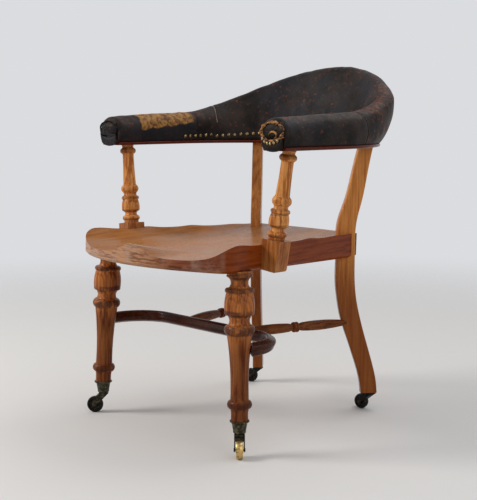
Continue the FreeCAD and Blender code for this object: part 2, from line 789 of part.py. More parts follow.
def arm_post():
    """A baluster on a square block, tenoned in the rail."""
    length = post_axis().Length
    ring = d.post_ring_radius
    neck = d.post_neck_radius
    block = d.post_block_height
    body = new_body("ArmPostTurning")
    revolve(body, "ArmPostTurned", (
        (0, block - 10, 0),
        (d.post_bead_radius - 3, block - 10, 0),
        (d.post_bead_radius - 3, block + 6, 0),
        (d.post_bead_radius - 2, block + 7, 2.4),
        (d.post_bead_radius - 2, block + 17, 0),
        (neck, block + 19, -1.5),
        (neck, block + 27, 0),
        (d.post_vase_radius - 3, block + 29, 1.2),
        (d.post_vase_radius, block + 35, 1.2),
        (d.post_vase_radius - 3, block + 57, 0),
        (ring - 1.8, block + 58, 2.0),
        (ring - 1.8, block + 66, 0),
        (neck + 1, block + 67, -1.2),
        (neck + 1, block + 75, 0),
        (neck + 3, block + 77, 3.2),
        (neck + 2, block + 93, 0),
        (neck, block + 96, -0.6),
        (d.post_shaft_top, length - 24, 0),
        (d.post_top_ring - 2.5, length - 21.5, 2.7),
        (d.post_top_ring - 2.5, length - 10, 0),
        (d.post_shaft_top + 0.5, length - 8, -1),
        (d.post_shaft_top + 2.5, length, 0),
        (d.post_tenon_radius, length, 0),
        (d.post_tenon_radius, length + d.post_tenon_length, 0),
        (0, length + d.post_tenon_length, 0),
    ))
    post_placed(body)
    square = post_block("ArmPostBlock", 0, True)
    whole = fuse("ArmPostWhole", [square, body])
    above = rail_space("ArmPostRailSpace", -1)
    tenon = post_tenon("ArmPostTenon", 0)
    return fuse("ArmPost", [cut("ArmPostTrimmed", whole, [above]), tenon])


def post_tenon(name, extra):
    """The post's tenon in the rail, or its socket when larger by a gap."""
    length = post_axis().Length
    bar = cylinder(name + "Bar", d.post_tenon_radius + extra, d.post_tenon_length + 6 + extra)
    start = post_axis() * ((length - 6) / length)
    place(bar, d.post_foot_x + start.x, -d.post_foot_y + start.y, d.post_foot_z + start.z,
          post_rotation())
    return bar


def rail_space(name, gap):
    """A slab where the rail lies, above its underside by a gap."""
    return box(name, 120, 120, 60, d.post_top_x - 60, -d.post_top_y - 60, d.rail_height + gap + 1)


# The saddled seat of three boards

def seat_rotation():
    return Rotation(Vector(1, 0, 0), -float(d.seat_tilt))


def seat_placed(thing):
    place(thing, 0, 0, d.seat_height, seat_rotation())
    return thing


def seat_blank():
    """The seat's outline at full thickness, its rim plane level with its own origin."""
    body = new_body("SeatBlank")
    sketch = sketch_in(body, "SeatOutline", "XY_Plane")
    outline(sketch, (
        (d.seat_corner_x, -d.seat_corner_y, 0),
        (d.seat_rear_x, d.seat_rear_y, d.seat_rear - d.seat_rear_y),
        (-d.seat_rear_x, d.seat_rear_y, 0),
        (-d.seat_corner_x, -d.seat_corner_y, d.seat_front - d.seat_corner_y),
    ))
    block = pad(body, sketch, "SeatPad", d.seat_thickness, backwards=True)
    doc.recompute()
    corners = body.newObject("PartDesign::Fillet", "SeatCorners")
    corners.Base = (block, front_corner_edges(block.Shape))
    bind(corners, Radius=d.seat_corner_round)
    doc.recompute()
    edge = body.newObject("PartDesign::Chamfer", "SeatLowerEdge")
    edge.Base = (corners, lowest_edges(corners.Shape))
    bind(edge, Size=d.seat_edge_ease)
    return seat_placed(body)


def front_corner_edges(shape):
    """Names of the two upright edges at the front corners."""
    names = []
    for index, edge in enumerate(shape.Edges, start=1):
        upright = edge.BoundBox.XLength < 1e-3 and edge.BoundBox.YLength < 1e-3
        if upright and edge.BoundBox.YMin < 0:
            names.append("Edge%d" % index)
    return names


def seat_half_width(y):
    """Half of the seat's width at a place along its depth."""
    share = (y + float(d.seat_corner_y)) / float(d.seat_rear_y + d.seat_corner_y)
    return float(d.seat_corner_x) + (float(d.seat_rear_x) - float(d.seat_corner_x)) * share


def saddle_height(x, y):
    """Height of the seat's top against its rim plane."""
    depth = (y + float(d.seat_front)) / float(d.seat_rear + d.seat_front)
    depth = min(max(depth, 0.0), 1.0)
    across = min(abs(x) / seat_half_width(y), 1.0)
    bowl = float(d.dish_depth) * math.cos(math.pi / 2 * depth ** 1.3) * (1 - across ** 8)
    fade = max(0.0, 1 - depth / float(d.pommel_length)) ** 2
    aside = (x - float(d.pommel_x)) / float(d.pommel_width)
    ridge = float(d.pommel_height) * math.exp(-aside ** 2) * fade
    return ridge - bowl


def saddle_cutter():
    """The space above the saddled top."""
    reach_x = float(d.seat_corner_x) + 12
    front = -float(d.seat_front) - 12
    back = float(d.seat_rear) + 12
    rows = 25
    columns = 27
    grid = []
    for row in range(rows):
        y = front + (back - front) * row / (rows - 1)
        line = []
        for column in range(columns):
            x = -reach_x + 2 * reach_x * column / (columns - 1)
            line.append(Vector(x, y, saddle_height(x, y)))
        grid.append(line)
    surface = Part.BSplineSurface()
    surface.interpolate(grid)
    above = surface.toShape().extrude(Vector(0, 0, 40))
    return seat_placed(solid("SaddleCutter", above))


def seat_boards():
    """Three boards glued edge to edge, notched for the legs and posts."""
    leg_socket = new_body("LegSocket")
    revolve(leg_socket, "LegSocketTurned", (
        (0, d.leg_top - 30, 0),
        (d.leg_cap_radius + d.joint_gap, d.leg_top - 30, 0),
        (d.leg_cap_radius + d.joint_gap, d.leg_top + d.joint_gap, 0),
        (d.leg_tenon_radius + d.joint_gap, d.leg_top + d.joint_gap, 0),
        (d.leg_tenon_radius + d.joint_gap, d.leg_top + d.leg_tenon_length + d.joint_gap, 0),
        (0, d.leg_top + d.leg_tenon_length + d.joint_gap, 0),
    ))
    leg_placed(leg_socket)
    notch = post_block("PostNotch", d.joint_gap, False)
    rear_notch = rear_leg_placed(
        solid("RearLegNotch", rear_leg_plank(float(d.joint_gap))))
    tools = [leg_socket, notch, rear_notch]
    tools += [mirrored(tool.Name + "Right", tool) for tool in list(tools)]
    tools.append(saddle_cutter())
    seat = cut("Seat", seat_blank(), tools)
    wide = 700
    left = d.board_joint_left
    right = -d.board_joint_right
    spans = (
        ("seat_board_left", left, as_size(wide / 2) - left),
        ("seat_board_centre", right, left - right),
        ("seat_board_right", as_size(-wide / 2), right + wide / 2),
    )
    for name, start, width in spans:
        slab = box(name + "_slab", width, 900, 300, start, -450, 300)
        board = doc.addObject("Part::Common", name + "_board")
        board.Base = seat
        board.Tool = slab
        label(board, name)


# The horseshoe rail in three pieces

def rail_outline():
    """The rail's section: a rounded lower moulding and a narrower core."""
    low = d.rail_height
    step = d.rail_height + d.rail_moulding
    top = d.rail_height + d.rail_thickness
    middle = d.rail_radius
    wide = d.rail_half - 3
    core = d.rail_core_half
    return (
        (middle + wide, low, 3),
        (middle + wide, step, 0),
        (middle + core, step, 0),
        (middle + core, top, 0),
        (middle - core, top, 0),
        (middle - core, step, 0),
        (middle - wide, step, 3),
        (middle - wide, low, 0),
    )


def rails():
    """Two arms and a back piece, butted at the scarf angles."""
    arc = 90 - d.rail_scarf
    arm = new_body("RailArm")
    sketch = sketch_in(arm, "RailArmSection", "XZ_Plane")
    outline(sketch, rail_outline())
    straight = pad(arm, sketch, "RailArmStraight", d.rail_front + d.rail_centre_y)
    bend = arm.newObject("PartDesign::Revolution", "RailArmBend")
    bend.Profile = sketch
    bend.ReferenceAxis = (sketch, ["V_Axis"])
    bend.Reversed = False
    bind(bend, Angle=arc)
    place(arm, 0, d.rail_centre_y, 0)
    back = new_body("RailBack")
    back_bend = revolve(back, "RailBackBend", rail_outline(), 2 * d.rail_scarf)
    turn = Rotation(UP, 90 - float(d.rail_scarf))
    place(back, 0, d.rail_centre_y, 0, turn)
    post_socket = post_tenon("RailPostSocket", d.joint_gap)
    mortise = rear_tenon("RailMortise", d.joint_gap)
    cut_arm = cut("RailArmSocketed", arm, [post_socket])
    tools = [mortise, mirrored("RailMortiseRight", mortise)]
    label(cut_arm, "rail_left")
    label(mirrored("RailArmRight", cut_arm), "rail_right")
    label(cut("RailBackMortised", back, tools), "rail_back")


# The leather pads on the rail

def pad_rise(angle):
    """0 on the arms and 1 at the back's middle, at degrees from that middle."""
    share = min(abs(angle) / 80.0, 1.0)
    return max(0.0, math.cos(math.pi / 2 * share)) ** 1.7


def pad_flare(angle):
    """0 on the arms and 1 all round the back, where the leather leans outwards."""
    share = min(max((80.0 - abs(angle)) / 34.0, 0.0), 1.0)
    return share * share * (3 - 2 * share)


def blend(first, second, share):
    """A size between two, at a share of the way from the first."""
    return float(first) + (float(second) - float(first)) * share


def pad_section(angle, frame, along=1.0, shrink=1.0):
    """The pad's outline over the rail, at degrees from the back's middle.

    Its sides and crown are arcs, and its lower edge is a channel that fits over the
    rail's core. Along is 0 at an arm's front and 1 from the seam on, and shrink draws
    the pad in towards an arm's end.
    """
    flare = pad_flare(angle)
    gap = float(d.seat_gap)
    low = float(d.rail_height + d.rail_moulding) + gap
    core = float(d.rail_core_half) + gap
    core_top = float(d.rail_height + d.rail_thickness) + gap
    foot = core + (float(d.pad_half) - float(d.rail_core_half)) * shrink
    arm_top = d.arm_pad_top + d.arm_pad_rise * along
    top = core_top + (blend(arm_top, d.back_pad_top, pad_rise(angle)) - core_top) * shrink
    lean = blend(0, d.back_pad_lean, flare)
    half = blend(d.arm_pad_bulge - 10, d.back_pad_half, flare) * shrink
    shoulder = top - blend(13, 15, flare) * shrink
    middle = low + (shoulder - low) * blend(0.5, 0.55, flare)
    outer = blend(d.arm_pad_bulge, d.back_pad_bulge, flare) * shrink
    inner = blend(d.arm_pad_bulge, d.back_pad_hollow, flare) * shrink
    corners = [
        Vector(foot, 0, low),
        Vector(lean + half, 0, shoulder),
        Vector(lean - half, 0, shoulder),
        Vector(-foot, 0, low),
        Vector(-core, 0, low),
        Vector(-core, 0, core_top),
        Vector(core, 0, core_top),
        Vector(core, 0, low),
    ]
    edges = [
        Part.Arc(corners[0], Vector(outer, 0, middle), corners[1]).toShape(),
        Part.Arc(corners[1], Vector(lean, 0, top), corners[2]).toShape(),
        Part.Arc(corners[2], Vector(-inner, 0, middle), corners[3]).toShape(),
    ]
    for first, second in zip(corners[3:], corners[4:]):
        edges.append(Part.LineSegment(first, second).toShape())
    edges.append(Part.LineSegment(corners[7], corners[0]).toShape())
    wire = Part.Wire(edges)
    wire.Placement = frame
    return wire


def arc_frame(angle):
    """A section's place on the horseshoe, at degrees from the back's middle."""
    radius = float(d.rail_radius)
    turn = math.radians(angle)
    base = Vector(radius * math.sin(turn), float(d.rail_centre_y) + radius * math.cos(turn), 0)
    return Placement(base, Rotation(UP, 90 - angle))


def arm_frame(y):
    """A section's place on the straight of the left arm."""
    return Placement(Vector(float(d.rail_radius), y, 0), Rotation())


def arm_pad():
    """Stuffed leather over the left arm, drawn in at its front."""
    nose = float(d.arm_pad_nose)
    front = -float(d.rail_front) - 5
    bend = float(d.rail_centre_y)
    radius = float(d.rail_radius)
    last = float(d.pad_seam) + math.degrees(float(d.seat_gap) / radius)
    whole = bend - front + radius * math.radians(90 - last)
    sections = []
    for turn in (0, 30, 60, 90):
        reach = math.radians(turn)
        draw_in = 1 - float(d.arm_pad_draw) * (1 - math.sin(reach))
        ahead = nose * (1 - math.cos(reach))
        frame = arm_frame(front + ahead)
        sections.append(pad_section(90, frame, ahead / whole, draw_in))
    sections.append(pad_section(90, arm_frame(bend), (bend - front) / whole))
    for share in (0.25, 0.5, 0.75, 1.0):
        angle = 90 - (90 - last) * share
        along = 1 - radius * math.radians(angle - last) / whole
        sections.append(pad_section(angle, arc_frame(angle), along))
    return solid("ArmPad", Part.makeLoft(sections, True, True))


def back_pad():
    """Stuffed leather that climbs from both arms to the back's middle."""
    seam = float(d.pad_seam)
    steps = 16
    sections = []
    for step in range(steps + 1):
        angle = seam - 2 * seam * step / steps
        sections.append(pad_section(angle, arc_frame(angle)))
    return solid("BackPad", Part.makeLoft(sections, True, False))


def facing(name):
    """The oval panel on an arm's front and the welt round it."""
    front = -float(d.rail_front) - 5 - float(d.seat_gap)
    middle = Vector(float(d.rail_radius), front, float(d.facing_height))
    wide = float(d.facing_half_width)
    high = float(d.facing_half_height)
    upright = Rotation(Vector(1, 0, 0), 90)
    rim = Part.Ellipse(Vector(0, 0, 0), wide, high).toShape()
    rim.Placement = Placement(middle, upright)
    panel = Part.Face(Part.Wire([rim])).extrude(Vector(0, -float(d.facing_thickness), 0))
    welt = float(d.piping_radius)
    path = Part.Ellipse(Vector(0, 0, 0), wide + welt + float(d.seat_gap),
                        high + welt + float(d.seat_gap)).toShape()
    path.Placement = Placement(middle - Vector(0, welt, 0), upright)
    start = path.valueAt(path.FirstParameter)
    section = Part.Wire([Part.Circle(start, Vector(0, 0, 1), welt).toShape()])
    ring = Part.Wire([path]).makePipeShell([section], True, True)
    return solid(name + "Panel", panel), solid(name + "Welt", ring)


# The casters, each in its own frame with the swivel axis at its origin

def caster(side_name, x, y, heading, front):
    """A swivelling horn, its pin, its wheel and its axle."""
    kind = "front_caster" if front else "rear_caster"
    radius = d.front_wheel_radius if front else d.rear_wheel_radius
    trail = d.front_trail if front else d.rear_trail
    top = d.front_horn_top if front else d.rear_horn_top
    turn = Rotation(UP, heading)
    name = "%s_%s" % (kind, side_name)
    horn = caster_horn(name, radius, trail, top)
    place(horn, x, y, 0, turn)
    label(horn, "%s_horn_%s" % (kind, side_name))
    wheel = caster_wheel(name, radius)
    axle = caster_axle(name)
    along = turn.multVec(Vector(1, 0, 0))
    across = turn * Rotation(Vector(1, 0, 0), 90)
    for thing, part in ((wheel, "wheel"), (axle, "axle")):
        place(thing, x + trail * along.x, y + trail * along.y, radius, across)
        label(thing, "%s_%s_%s" % (kind, part, side_name))
    support = d.cup_floor if front else d.plate_thickness
    pin = new_body(name + "_pin")
    head = top + d.seat_gap + support + d.seat_gap
    revolve(pin, name + "_pin_turned", (
        (0, top - 4, 0),
        (d.pin_radius, top - 4, 0),
        (d.pin_radius, head, 0),
        (d.pin_head_radius, head, 0),
        (d.pin_head_radius, head + 1.5, 0),
        (d.pin_head_radius - 2, head + 3, 0),
        (0, head + 3, 0),
    ))
    place(pin, x, y, 0)
    label(pin, "%s_pin_%s" % (kind, side_name))


def caster_horn(name, radius, trail, top):
    """A curved fork: a comma-shaped block with a round slot for the wheel."""
    body = new_body(name + "_horn")
    side = sketch_in(body, name + "_horn_side", "XZ_Plane")
    disc = d.horn_radius
    boss = d.axle_radius + 3.4
    outline(side, (
        (-disc, top - 4, 0),
        (trail - boss, radius, 0.8 * boss),
        (trail + boss, radius, 5),
        (disc, top - 4, 0),
        (disc, top - 0.5, 0),
        (-disc, top - 0.5, 0),
    ))
    inner = d.wheel_width + 2 * d.wheel_gap
    pad(body, side, name + "_horn_block", inner + 2 * d.horn_cheek, both_ways=True)
    disc_sketch = sketch_in(body, name + "_horn_disc", "XY_Plane", top - 4)
    circle(disc_sketch, 0, 0, disc + 1)
    pad(body, disc_sketch, name + "_horn_bearing", 4)
    slot = sketch_in(body, name + "_horn_slot", "XZ_Plane")
    circle(slot, trail, radius, radius + 2 * d.wheel_gap)
    pocket(body, slot, name + "_horn_fork", inner, both_ways=True)
    bore = sketch_in(body, name + "_horn_bore", "XZ_Plane")
    circle(bore, trail, radius, d.axle_radius)
    pocket(body, bore, name + "_horn_eyes", 60, both_ways=True)
    eye = sketch_in(body, name + "_horn_pin_eye", "XY_Plane", top)
    circle(eye, 0, 0, d.pin_radius)
    pocket(body, eye, name + "_horn_pin_bore", 4)
    return body


def caster_wheel(name, radius):
    """A crowned brass wheel with recessed sides and a hub."""
    half = d.wheel_width / 2
    bore = d.axle_radius + d.running_gap
    body = new_body(name + "_wheel")
    revolve(body, name + "_wheel_turned", (
        (bore, -half, 0),
        (bore + 4, -half, 0),
        (bore + 5, -half + 3, 0),
        (radius - 6, -half + 3, 0),
        (radius - 5, -half + 0.8, 0),
        (radius - 2, -half + 0.8, 2),
        (radius - 2, half - 0.8, 0),
        (radius - 5, half - 0.8, 0),
        (radius - 6, half - 3, 0),
        (bore + 5, half - 3, 0),
        (bore + 4, half, 0),
        (bore, half, 0),
    ))
    return body


def caster_axle(name):
    """A pin through the horn's cheeks, riveted over at both ends."""
    reach = d.wheel_width / 2 + d.wheel_gap + d.horn_cheek
    body = new_body(name + "_axle")
    revolve(body, name + "_axle_turned", (
        (0, -reach - 1.2, 0),
        (d.axle_radius + 0.4, -reach - 1.2, 0.3),
        (d.axle_radius + 1.2, -reach, 0),
        (d.axle_radius, -reach, 0),
        (d.axle_radius, reach, 0),
        (d.axle_radius + 1.2, reach, 0.3),
        (d.axle_radius + 0.4, reach + 1.2, 0),
        (0, reach + 1.2, 0),
    ))
    return body


def caster_cup():
    """A flanged cup that takes the leg's foot, with a bored floor for the swivel pin."""
    low = d.front_horn_top + d.seat_gap
    wall = d.cup_wall
    body = new_body("CasterCup")
    revolve(body, "CasterCupTurned", (
        (d.pin_radius + d.running_gap, low, 0),
        (d.cup_foot_radius - 2, low, 0),
        (d.cup_foot_radius - 0.5, low + 2, 0.6),
        (d.cup_foot_radius, low + 5, 0),
        (d.cup_radius, d.cup_top - 6, 0),
        (d.cup_flange_radius - 1.5, d.cup_top - 3, 0.6),
        (d.cup_flange_radius, d.cup_top - 1.5, 0.6),
        (d.cup_flange_radius - 1.5, d.cup_top, 0),
        (d.leg_ankle + d.seat_gap, d.cup_top, 0),
        (d.leg_ankle + d.seat_gap, d.cup_top - 1, 0),
        (d.cup_radius - wall, d.cup_top - 2, 0),
        (d.cup_foot_radius - wall, low + d.cup_floor, 0),
        (d.pin_radius + d.running_gap, low + d.cup_floor, 0),
    ))
    x, y, z = leg_point(d.cup_top)
    place(body, x, y, 0)
    return body


def caster_plate():
    """A plate screwed under the rear leg, bored for the swivel pin."""
    body = new_body("CasterPlate")
    low = d.rear_horn_top + d.seat_gap
    sketch = sketch_in(body, "CasterPlateOutline", "XY_Plane", low)
    long_half = d.plate_length / 2
    wide_half = d.plate_width / 2
    outline(sketch, (
        (long_half - 3, -wide_half, 3),
        (long_half - 3, wide_half, 0),
        (3 - long_half, wide_half, 3),
        (3 - long_half, -wide_half, 0),
    ))
    pad(body, sketch, "CasterPlatePad", d.plate_thickness)
    bore = sketch_in(body, "CasterPlateBore", "XY_Plane", low + d.plate_thickness)
    circle(bore, 0, 0, d.pin_radius + d.running_gap)
    pocket(body, bore, "CasterPlateHole", d.plate_thickness)
    x, y = rear_caster_point(1.0)
    place(body, x, y, 0, Rotation(UP, 90 - float(d.rear_leg_turn)))
    return body


# Headings of the wheels, in degrees from +X towards +Y
FRONT_HEADINGS = {"left": -44.0, "right": 222.0}
REAR_HEADINGS = {"left": 182.0, "right": 205.0}


def pair(left, name):
    """Labels a left piece and its mirror image."""
    label(left, name + "_left")
    label(mirrored(left.Name + "Right", left), name + "_right")


def build():
    seat_boards()
    pair(front_leg(), "front_leg")
    pair(rear_leg(), "rear_leg")
    pair(arm_post(), "arm_post")
    label(hoop(), "hoop_stretcher")
    pair(side_stretcher(), "side_stretcher")
    rails()
    pair(arm_pad(), "arm_pad")
    label(back_pad(), "back_pad")
    panel, welt = facing("Facing")
    pair(panel, "facing")
    pair(welt, "piping")
    pair(caster_cup(), "front_caster_cup")
    pair(caster_plate(), "rear_caster_plate")
    for side, sign in NAMES_LEFT_RIGHT:
        x, y, z = leg_point(d.cup_top)
        caster(side, sign * x, y, FRONT_HEADINGS[side], True)
        x, y = rear_caster_point(sign)
        caster(side, x, y, REAR_HEADINGS[side], False)


def check_and_write():
    """Recomputes, checks every object and writes one file for each sub-part."""
    doc.recompute()
    for thing in doc.Objects:
        if "Invalid" in thing.State or "Error" in thing.State:
            raise ValueError("%s has failed: %s" % (thing.Name, thing.State))
    os.makedirs("parts", exist_ok=True)
    for thing in SUB_PARTS:
        shape = thing.Shape
        if shape.isNull() or not shape.isValid():
            raise ValueError("%s has no valid shape" % thing.Label)
        if len(shape.Solids) != 1:
            raise ValueError("%s has %d solids" % (thing.Label, len(shape.Solids)))
        shape.exportStep(os.path.join("parts", thing.Label + ".step"))
        print("%-28s %12.0f mm3" % (thing.Label, shape.Volume))


build()
check_and_write()
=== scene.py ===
import math

import bmesh
import bpy
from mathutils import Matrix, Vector, noise


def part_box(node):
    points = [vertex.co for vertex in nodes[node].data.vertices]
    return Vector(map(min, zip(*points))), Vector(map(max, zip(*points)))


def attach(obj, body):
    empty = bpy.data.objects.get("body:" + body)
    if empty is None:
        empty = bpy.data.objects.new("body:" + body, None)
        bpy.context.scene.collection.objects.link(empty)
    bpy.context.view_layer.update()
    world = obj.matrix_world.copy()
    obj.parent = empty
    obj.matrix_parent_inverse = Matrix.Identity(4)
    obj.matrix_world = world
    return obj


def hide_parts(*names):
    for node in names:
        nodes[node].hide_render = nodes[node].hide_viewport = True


# The looks of a captain's desk chair: worn leather over a horseshoe rail, old varnished
# wood and brass casters. Everything is in metres, +Z up, and the sitter faces -Y.

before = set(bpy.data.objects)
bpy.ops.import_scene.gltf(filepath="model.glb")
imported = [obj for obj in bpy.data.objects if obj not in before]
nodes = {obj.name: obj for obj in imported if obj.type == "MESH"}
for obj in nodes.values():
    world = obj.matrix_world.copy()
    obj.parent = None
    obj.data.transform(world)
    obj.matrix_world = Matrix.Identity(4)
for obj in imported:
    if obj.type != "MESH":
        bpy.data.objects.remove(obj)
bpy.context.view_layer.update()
MM = 0.001


# Sizes of the rail and its leather, the same as in the solids that they stand for

RAIL_RADIUS = 281 * MM
RAIL_CENTRE_Y = 15 * MM
RAIL_FRONT = 181 * MM
RAIL_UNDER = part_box("rail_left")[0].z
BEND = math.pi / 2
PAD_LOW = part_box("arm_pad_left")[0].z
PAD_REACH = 5 * MM
BACK_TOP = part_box("back_pad")[1].z
RAIL_CORE_HALF = 30.3 * MM
RAIL_CORE_TOP = RAIL_UNDER + 21.7 * MM
PAD_FOOT = 33.3 * MM
ARM_TOP = 725 * MM
ARM_RISE = 10 * MM
ARM_BULGE = 41 * MM
ARM_SHOULDER = 31 * MM
NOSE = 12 * MM
NOSE_DRAW = 0.2
BACK_LEAN = 43 * MM
BACK_BULGE = 61 * MM
BACK_HALF = 22 * MM
BACK_HOLLOW = 12 * MM
BACK_SHOULDER_DROP = 15 * MM
ARM_SHOULDER_DROP = 13 * MM
CLIMB_END = 80
CLIMB_POWER = 1.7
FLARE_START = 46
SEAM_ANGLE = 78.0
SEAM_GAP = 0.3 * MM
ARM_STRAIGHT = RAIL_FRONT + RAIL_CENTRE_Y
HALF_LENGTH = RAIL_RADIUS * BEND + ARM_STRAIGHT + PAD_REACH


def along_at(angle):
    """The distance along the horseshoe from the back's middle, at an angle from it."""
    return RAIL_RADIUS * math.radians(angle)


SEAM = along_at(SEAM_ANGLE)


# Small helpers for numbers

def mix(first, second, share):
    return first + (second - first) * share


def smooth(value, low, high):
    """0 below low, 1 above high, and a smooth climb between them."""
    share = min(max((value - low) / (high - low), 0.0), 1.0)
    return share * share * (3 - 2 * share)


def bell(value, centre, width):
    return math.exp(-((value - centre) / width) ** 2)


# The leather's form

def horseshoe(distance):
    """The point of the rail's middle line at a signed distance from the back's middle,
    with the outward direction there. Positive is the sitter's left."""
    side = 1 if distance >= 0 else -1
    reach = abs(distance)
    turn = min(reach / RAIL_RADIUS, BEND)
    outward = Vector((side * math.sin(turn), math.cos(turn), 0))
    forward = Vector((side * math.cos(turn), -math.sin(turn), 0))
    bend_end = Vector((0, RAIL_CENTRE_Y, 0)) + outward * RAIL_RADIUS
    return bend_end + forward * max(reach - RAIL_RADIUS * BEND, 0), outward


def arc_points(start, through, end, count):
    """Points on the circle through three points (out, up), from start up to but not with end."""
    (ax, ay), (bx, by), (cx, cy) = start, through, end
    double = 2 * (ax * (by - cy) + bx * (cy - ay) + cx * (ay - by))
    a2, b2, c2 = ax * ax + ay * ay, bx * bx + by * by, cx * cx + cy * cy
    ux = (a2 * (by - cy) + b2 * (cy - ay) + c2 * (ay - by)) / double
    uy = (a2 * (cx - bx) + b2 * (ax - cx) + c2 * (bx - ax)) / double
    radius = math.hypot(ax - ux, ay - uy)
    first = math.atan2(ay - uy, ax - ux)
    middle = (math.atan2(by - uy, bx - ux) - first) % (2 * math.pi)
    sweep = (math.atan2(cy - uy, cx - ux) - first) % (2 * math.pi)
    if middle > sweep:
        sweep -= 2 * math.pi
    steps = [first + sweep * step / count for step in range(count)]
    return [(ux + radius * math.cos(turn), uy + radius * math.sin(turn)) for turn in steps]


SIDE_POINTS = 16
CROWN_POINTS = 12


def skin_profile(distance):
    """The leather's skin at a place along the horseshoe, from its outer to its inner foot,
    as points (out, up)."""
    reach = abs(distance)
    angle = min(math.degrees(reach / RAIL_RADIUS), 90.0)
    rise = max(0.0, math.cos(math.pi / 2 * min(angle / CLIMB_END, 1.0))) ** CLIMB_POWER
    flare = 1 - smooth(angle, FLARE_START, CLIMB_END)
    ahead = max(HALF_LENGTH - reach, 0.0)
    shrink = 1.0
    if ahead < NOSE:
        shrink = 1 - NOSE_DRAW * (1 - math.sin(math.acos(1 - ahead / NOSE)))
    along = min(ahead / (HALF_LENGTH - SEAM), 1.0)
    top = RAIL_CORE_TOP + (mix(ARM_TOP + ARM_RISE * along, BACK_TOP, rise) - RAIL_CORE_TOP) * shrink
    foot = RAIL_CORE_HALF + (PAD_FOOT - RAIL_CORE_HALF) * shrink
    lean = BACK_LEAN * flare
    half = mix(ARM_SHOULDER, BACK_HALF, flare) * shrink
    shoulder = top - mix(ARM_SHOULDER_DROP, BACK_SHOULDER_DROP, flare) * shrink
    middle = PAD_LOW + (shoulder - PAD_LOW) * mix(0.5, 0.55, flare)
    outer = mix(ARM_BULGE, BACK_BULGE, flare) * shrink
    inner = mix(ARM_BULGE, BACK_HOLLOW, flare) * shrink
    outer_shoulder = (lean + half, shoulder)
    inner_shoulder = (lean - half, shoulder)
    points = arc_points((foot, PAD_LOW), (outer, middle), outer_shoulder, SIDE_POINTS)
    points += arc_points(outer_shoulder, (lean, top), inner_shoulder, CROWN_POINTS)
    points += arc_points(inner_shoulder, (-inner, middle), (-foot, PAD_LOW), SIDE_POINTS)
    points.append((-foot, PAD_LOW))
    return points


# The right arm has two seams across it, at these places along the horseshoe

FAR_SEAM = -along_at(84)
PALE_SEAM = -along_at(64)
SEAM_DEPTHS = ((FAR_SEAM, 1.6 * MM), (PALE_SEAM, 1.2 * MM))
SEAM_WIDTH = 2.2 * MM
SEAM_ROLL = 6 * MM
NAIL_PITCH = 18 * MM
NAIL_RISE = 9 * MM
PUCKER = 0.7 * MM

# Lumps of the stuffing: waves per metre along, waves from foot to foot, seed and height
LUMPS = ((11, 2.6, 3.1, 2.0 * MM), (37, 6.0, 8.2, 1.0 * MM), (70, 9.0, 5.5, 0.5 * MM))


def leather_relief(distance, share):
    """How far the skin stands out at a place along the horseshoe and a share of the way
    from its outer to its inner foot."""
    free = smooth(share, 0.0, 0.06) * (1 - smooth(share, 0.94, 1.0))
    height = -PUCKER * math.sin(math.pi * distance / NAIL_PITCH) ** 2 * smooth(share, 0.90, 0.97)
    for waves, turns, seed, size in LUMPS:
        height += noise.noise(Vector((distance * waves, share * turns, seed))) * size
    for place, depth in SEAM_DEPTHS:
        height -= depth * bell(distance, place, SEAM_WIDTH)
        height += 0.5 * depth * bell(abs(distance - place), SEAM_ROLL, SEAM_ROLL / 2)
    return height * free


def leather_skin(distance):
    """The leather's points and outward normals from its outer to its inner foot."""
    base, outward = horseshoe(distance)
    skin = skin_profile(distance)
    last = len(skin) - 1
    rows = []
    for index, (out, up) in enumerate(skin):
        before = skin[max(index - 1, 0)]
        after = skin[min(index + 1, last)]
        tangent = Vector((after[0] - before[0], after[1] - before[1])).normalized()
        normal = outward * tangent.y + Vector((0, 0, -tangent.x))
        point = base + outward * out + Vector((0, 0, up))
        rows.append((point + normal * leather_relief(distance, index / last), normal))
    return rows


def leather_ring(distance):
    """A closed loop of points round the leather and the channel over the rail's core."""
    base, outward = horseshoe(distance)
    channel = (
        (-RAIL_CORE_HALF, PAD_LOW),
        (-RAIL_CORE_HALF, RAIL_CORE_TOP),
        (0, RAIL_CORE_TOP),
        (RAIL_CORE_HALF, RAIL_CORE_TOP),
        (RAIL_CORE_HALF, PAD_LOW),
    )
    loop = [point for point, normal in leather_skin(distance)]
    return loop + [base + outward * out + Vector((0, 0, up)) for out, up in channel]


def new_piece(name, form, material):
    """A mesh object from a bmesh, with its material, riding on the frame."""
    mesh = bpy.data.meshes.new(name)
    bmesh.ops.recalc_face_normals(form, faces=form.faces)
    form.to_mesh(mesh)
    form.free()
    for polygon in mesh.polygons:
        polygon.use_smooth = True
    piece = bpy.data.objects.new(name, mesh)
    bpy.context.scene.collection.objects.link(piece)
    mesh.materials.append(material)
    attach(piece, "frame")
    return piece


def loft(form, rings, closed_ends=True):
    """Skins closed rings of points, one after another, and caps the ends."""
    rows = [[form.verts.new(point) for point in ring] for ring in rings]
    for row, following in zip(rows, rows[1:]):
        for index in range(len(row)):
            after = (index + 1) % len(row)
            form.faces.new((row[index], row[after], following[after], following[index]))
    if closed_ends:
        form.faces.new(list(reversed(rows[0])))
        form.faces.new(rows[-1])


def loft_round(form, rings):
    """Skins closed rings of points into a loop, with the first ring again at its end."""
    loft(form, rings + [rings[0]], closed_ends=False)
    bmesh.ops.remove_doubles(form, verts=form.verts, dist=1e-7)


def circle(middle, first, second, count):
    """Points round a middle, from two half axes."""
    turns = [2 * math.pi * step / count for step in range(count)]
    return [middle + first * math.cos(turn) + second * math.sin(turn) for turn in turns]


def side_name(side):
    return "left" if side > 0 else "right"


LEATHER_STEP = 4 * MM


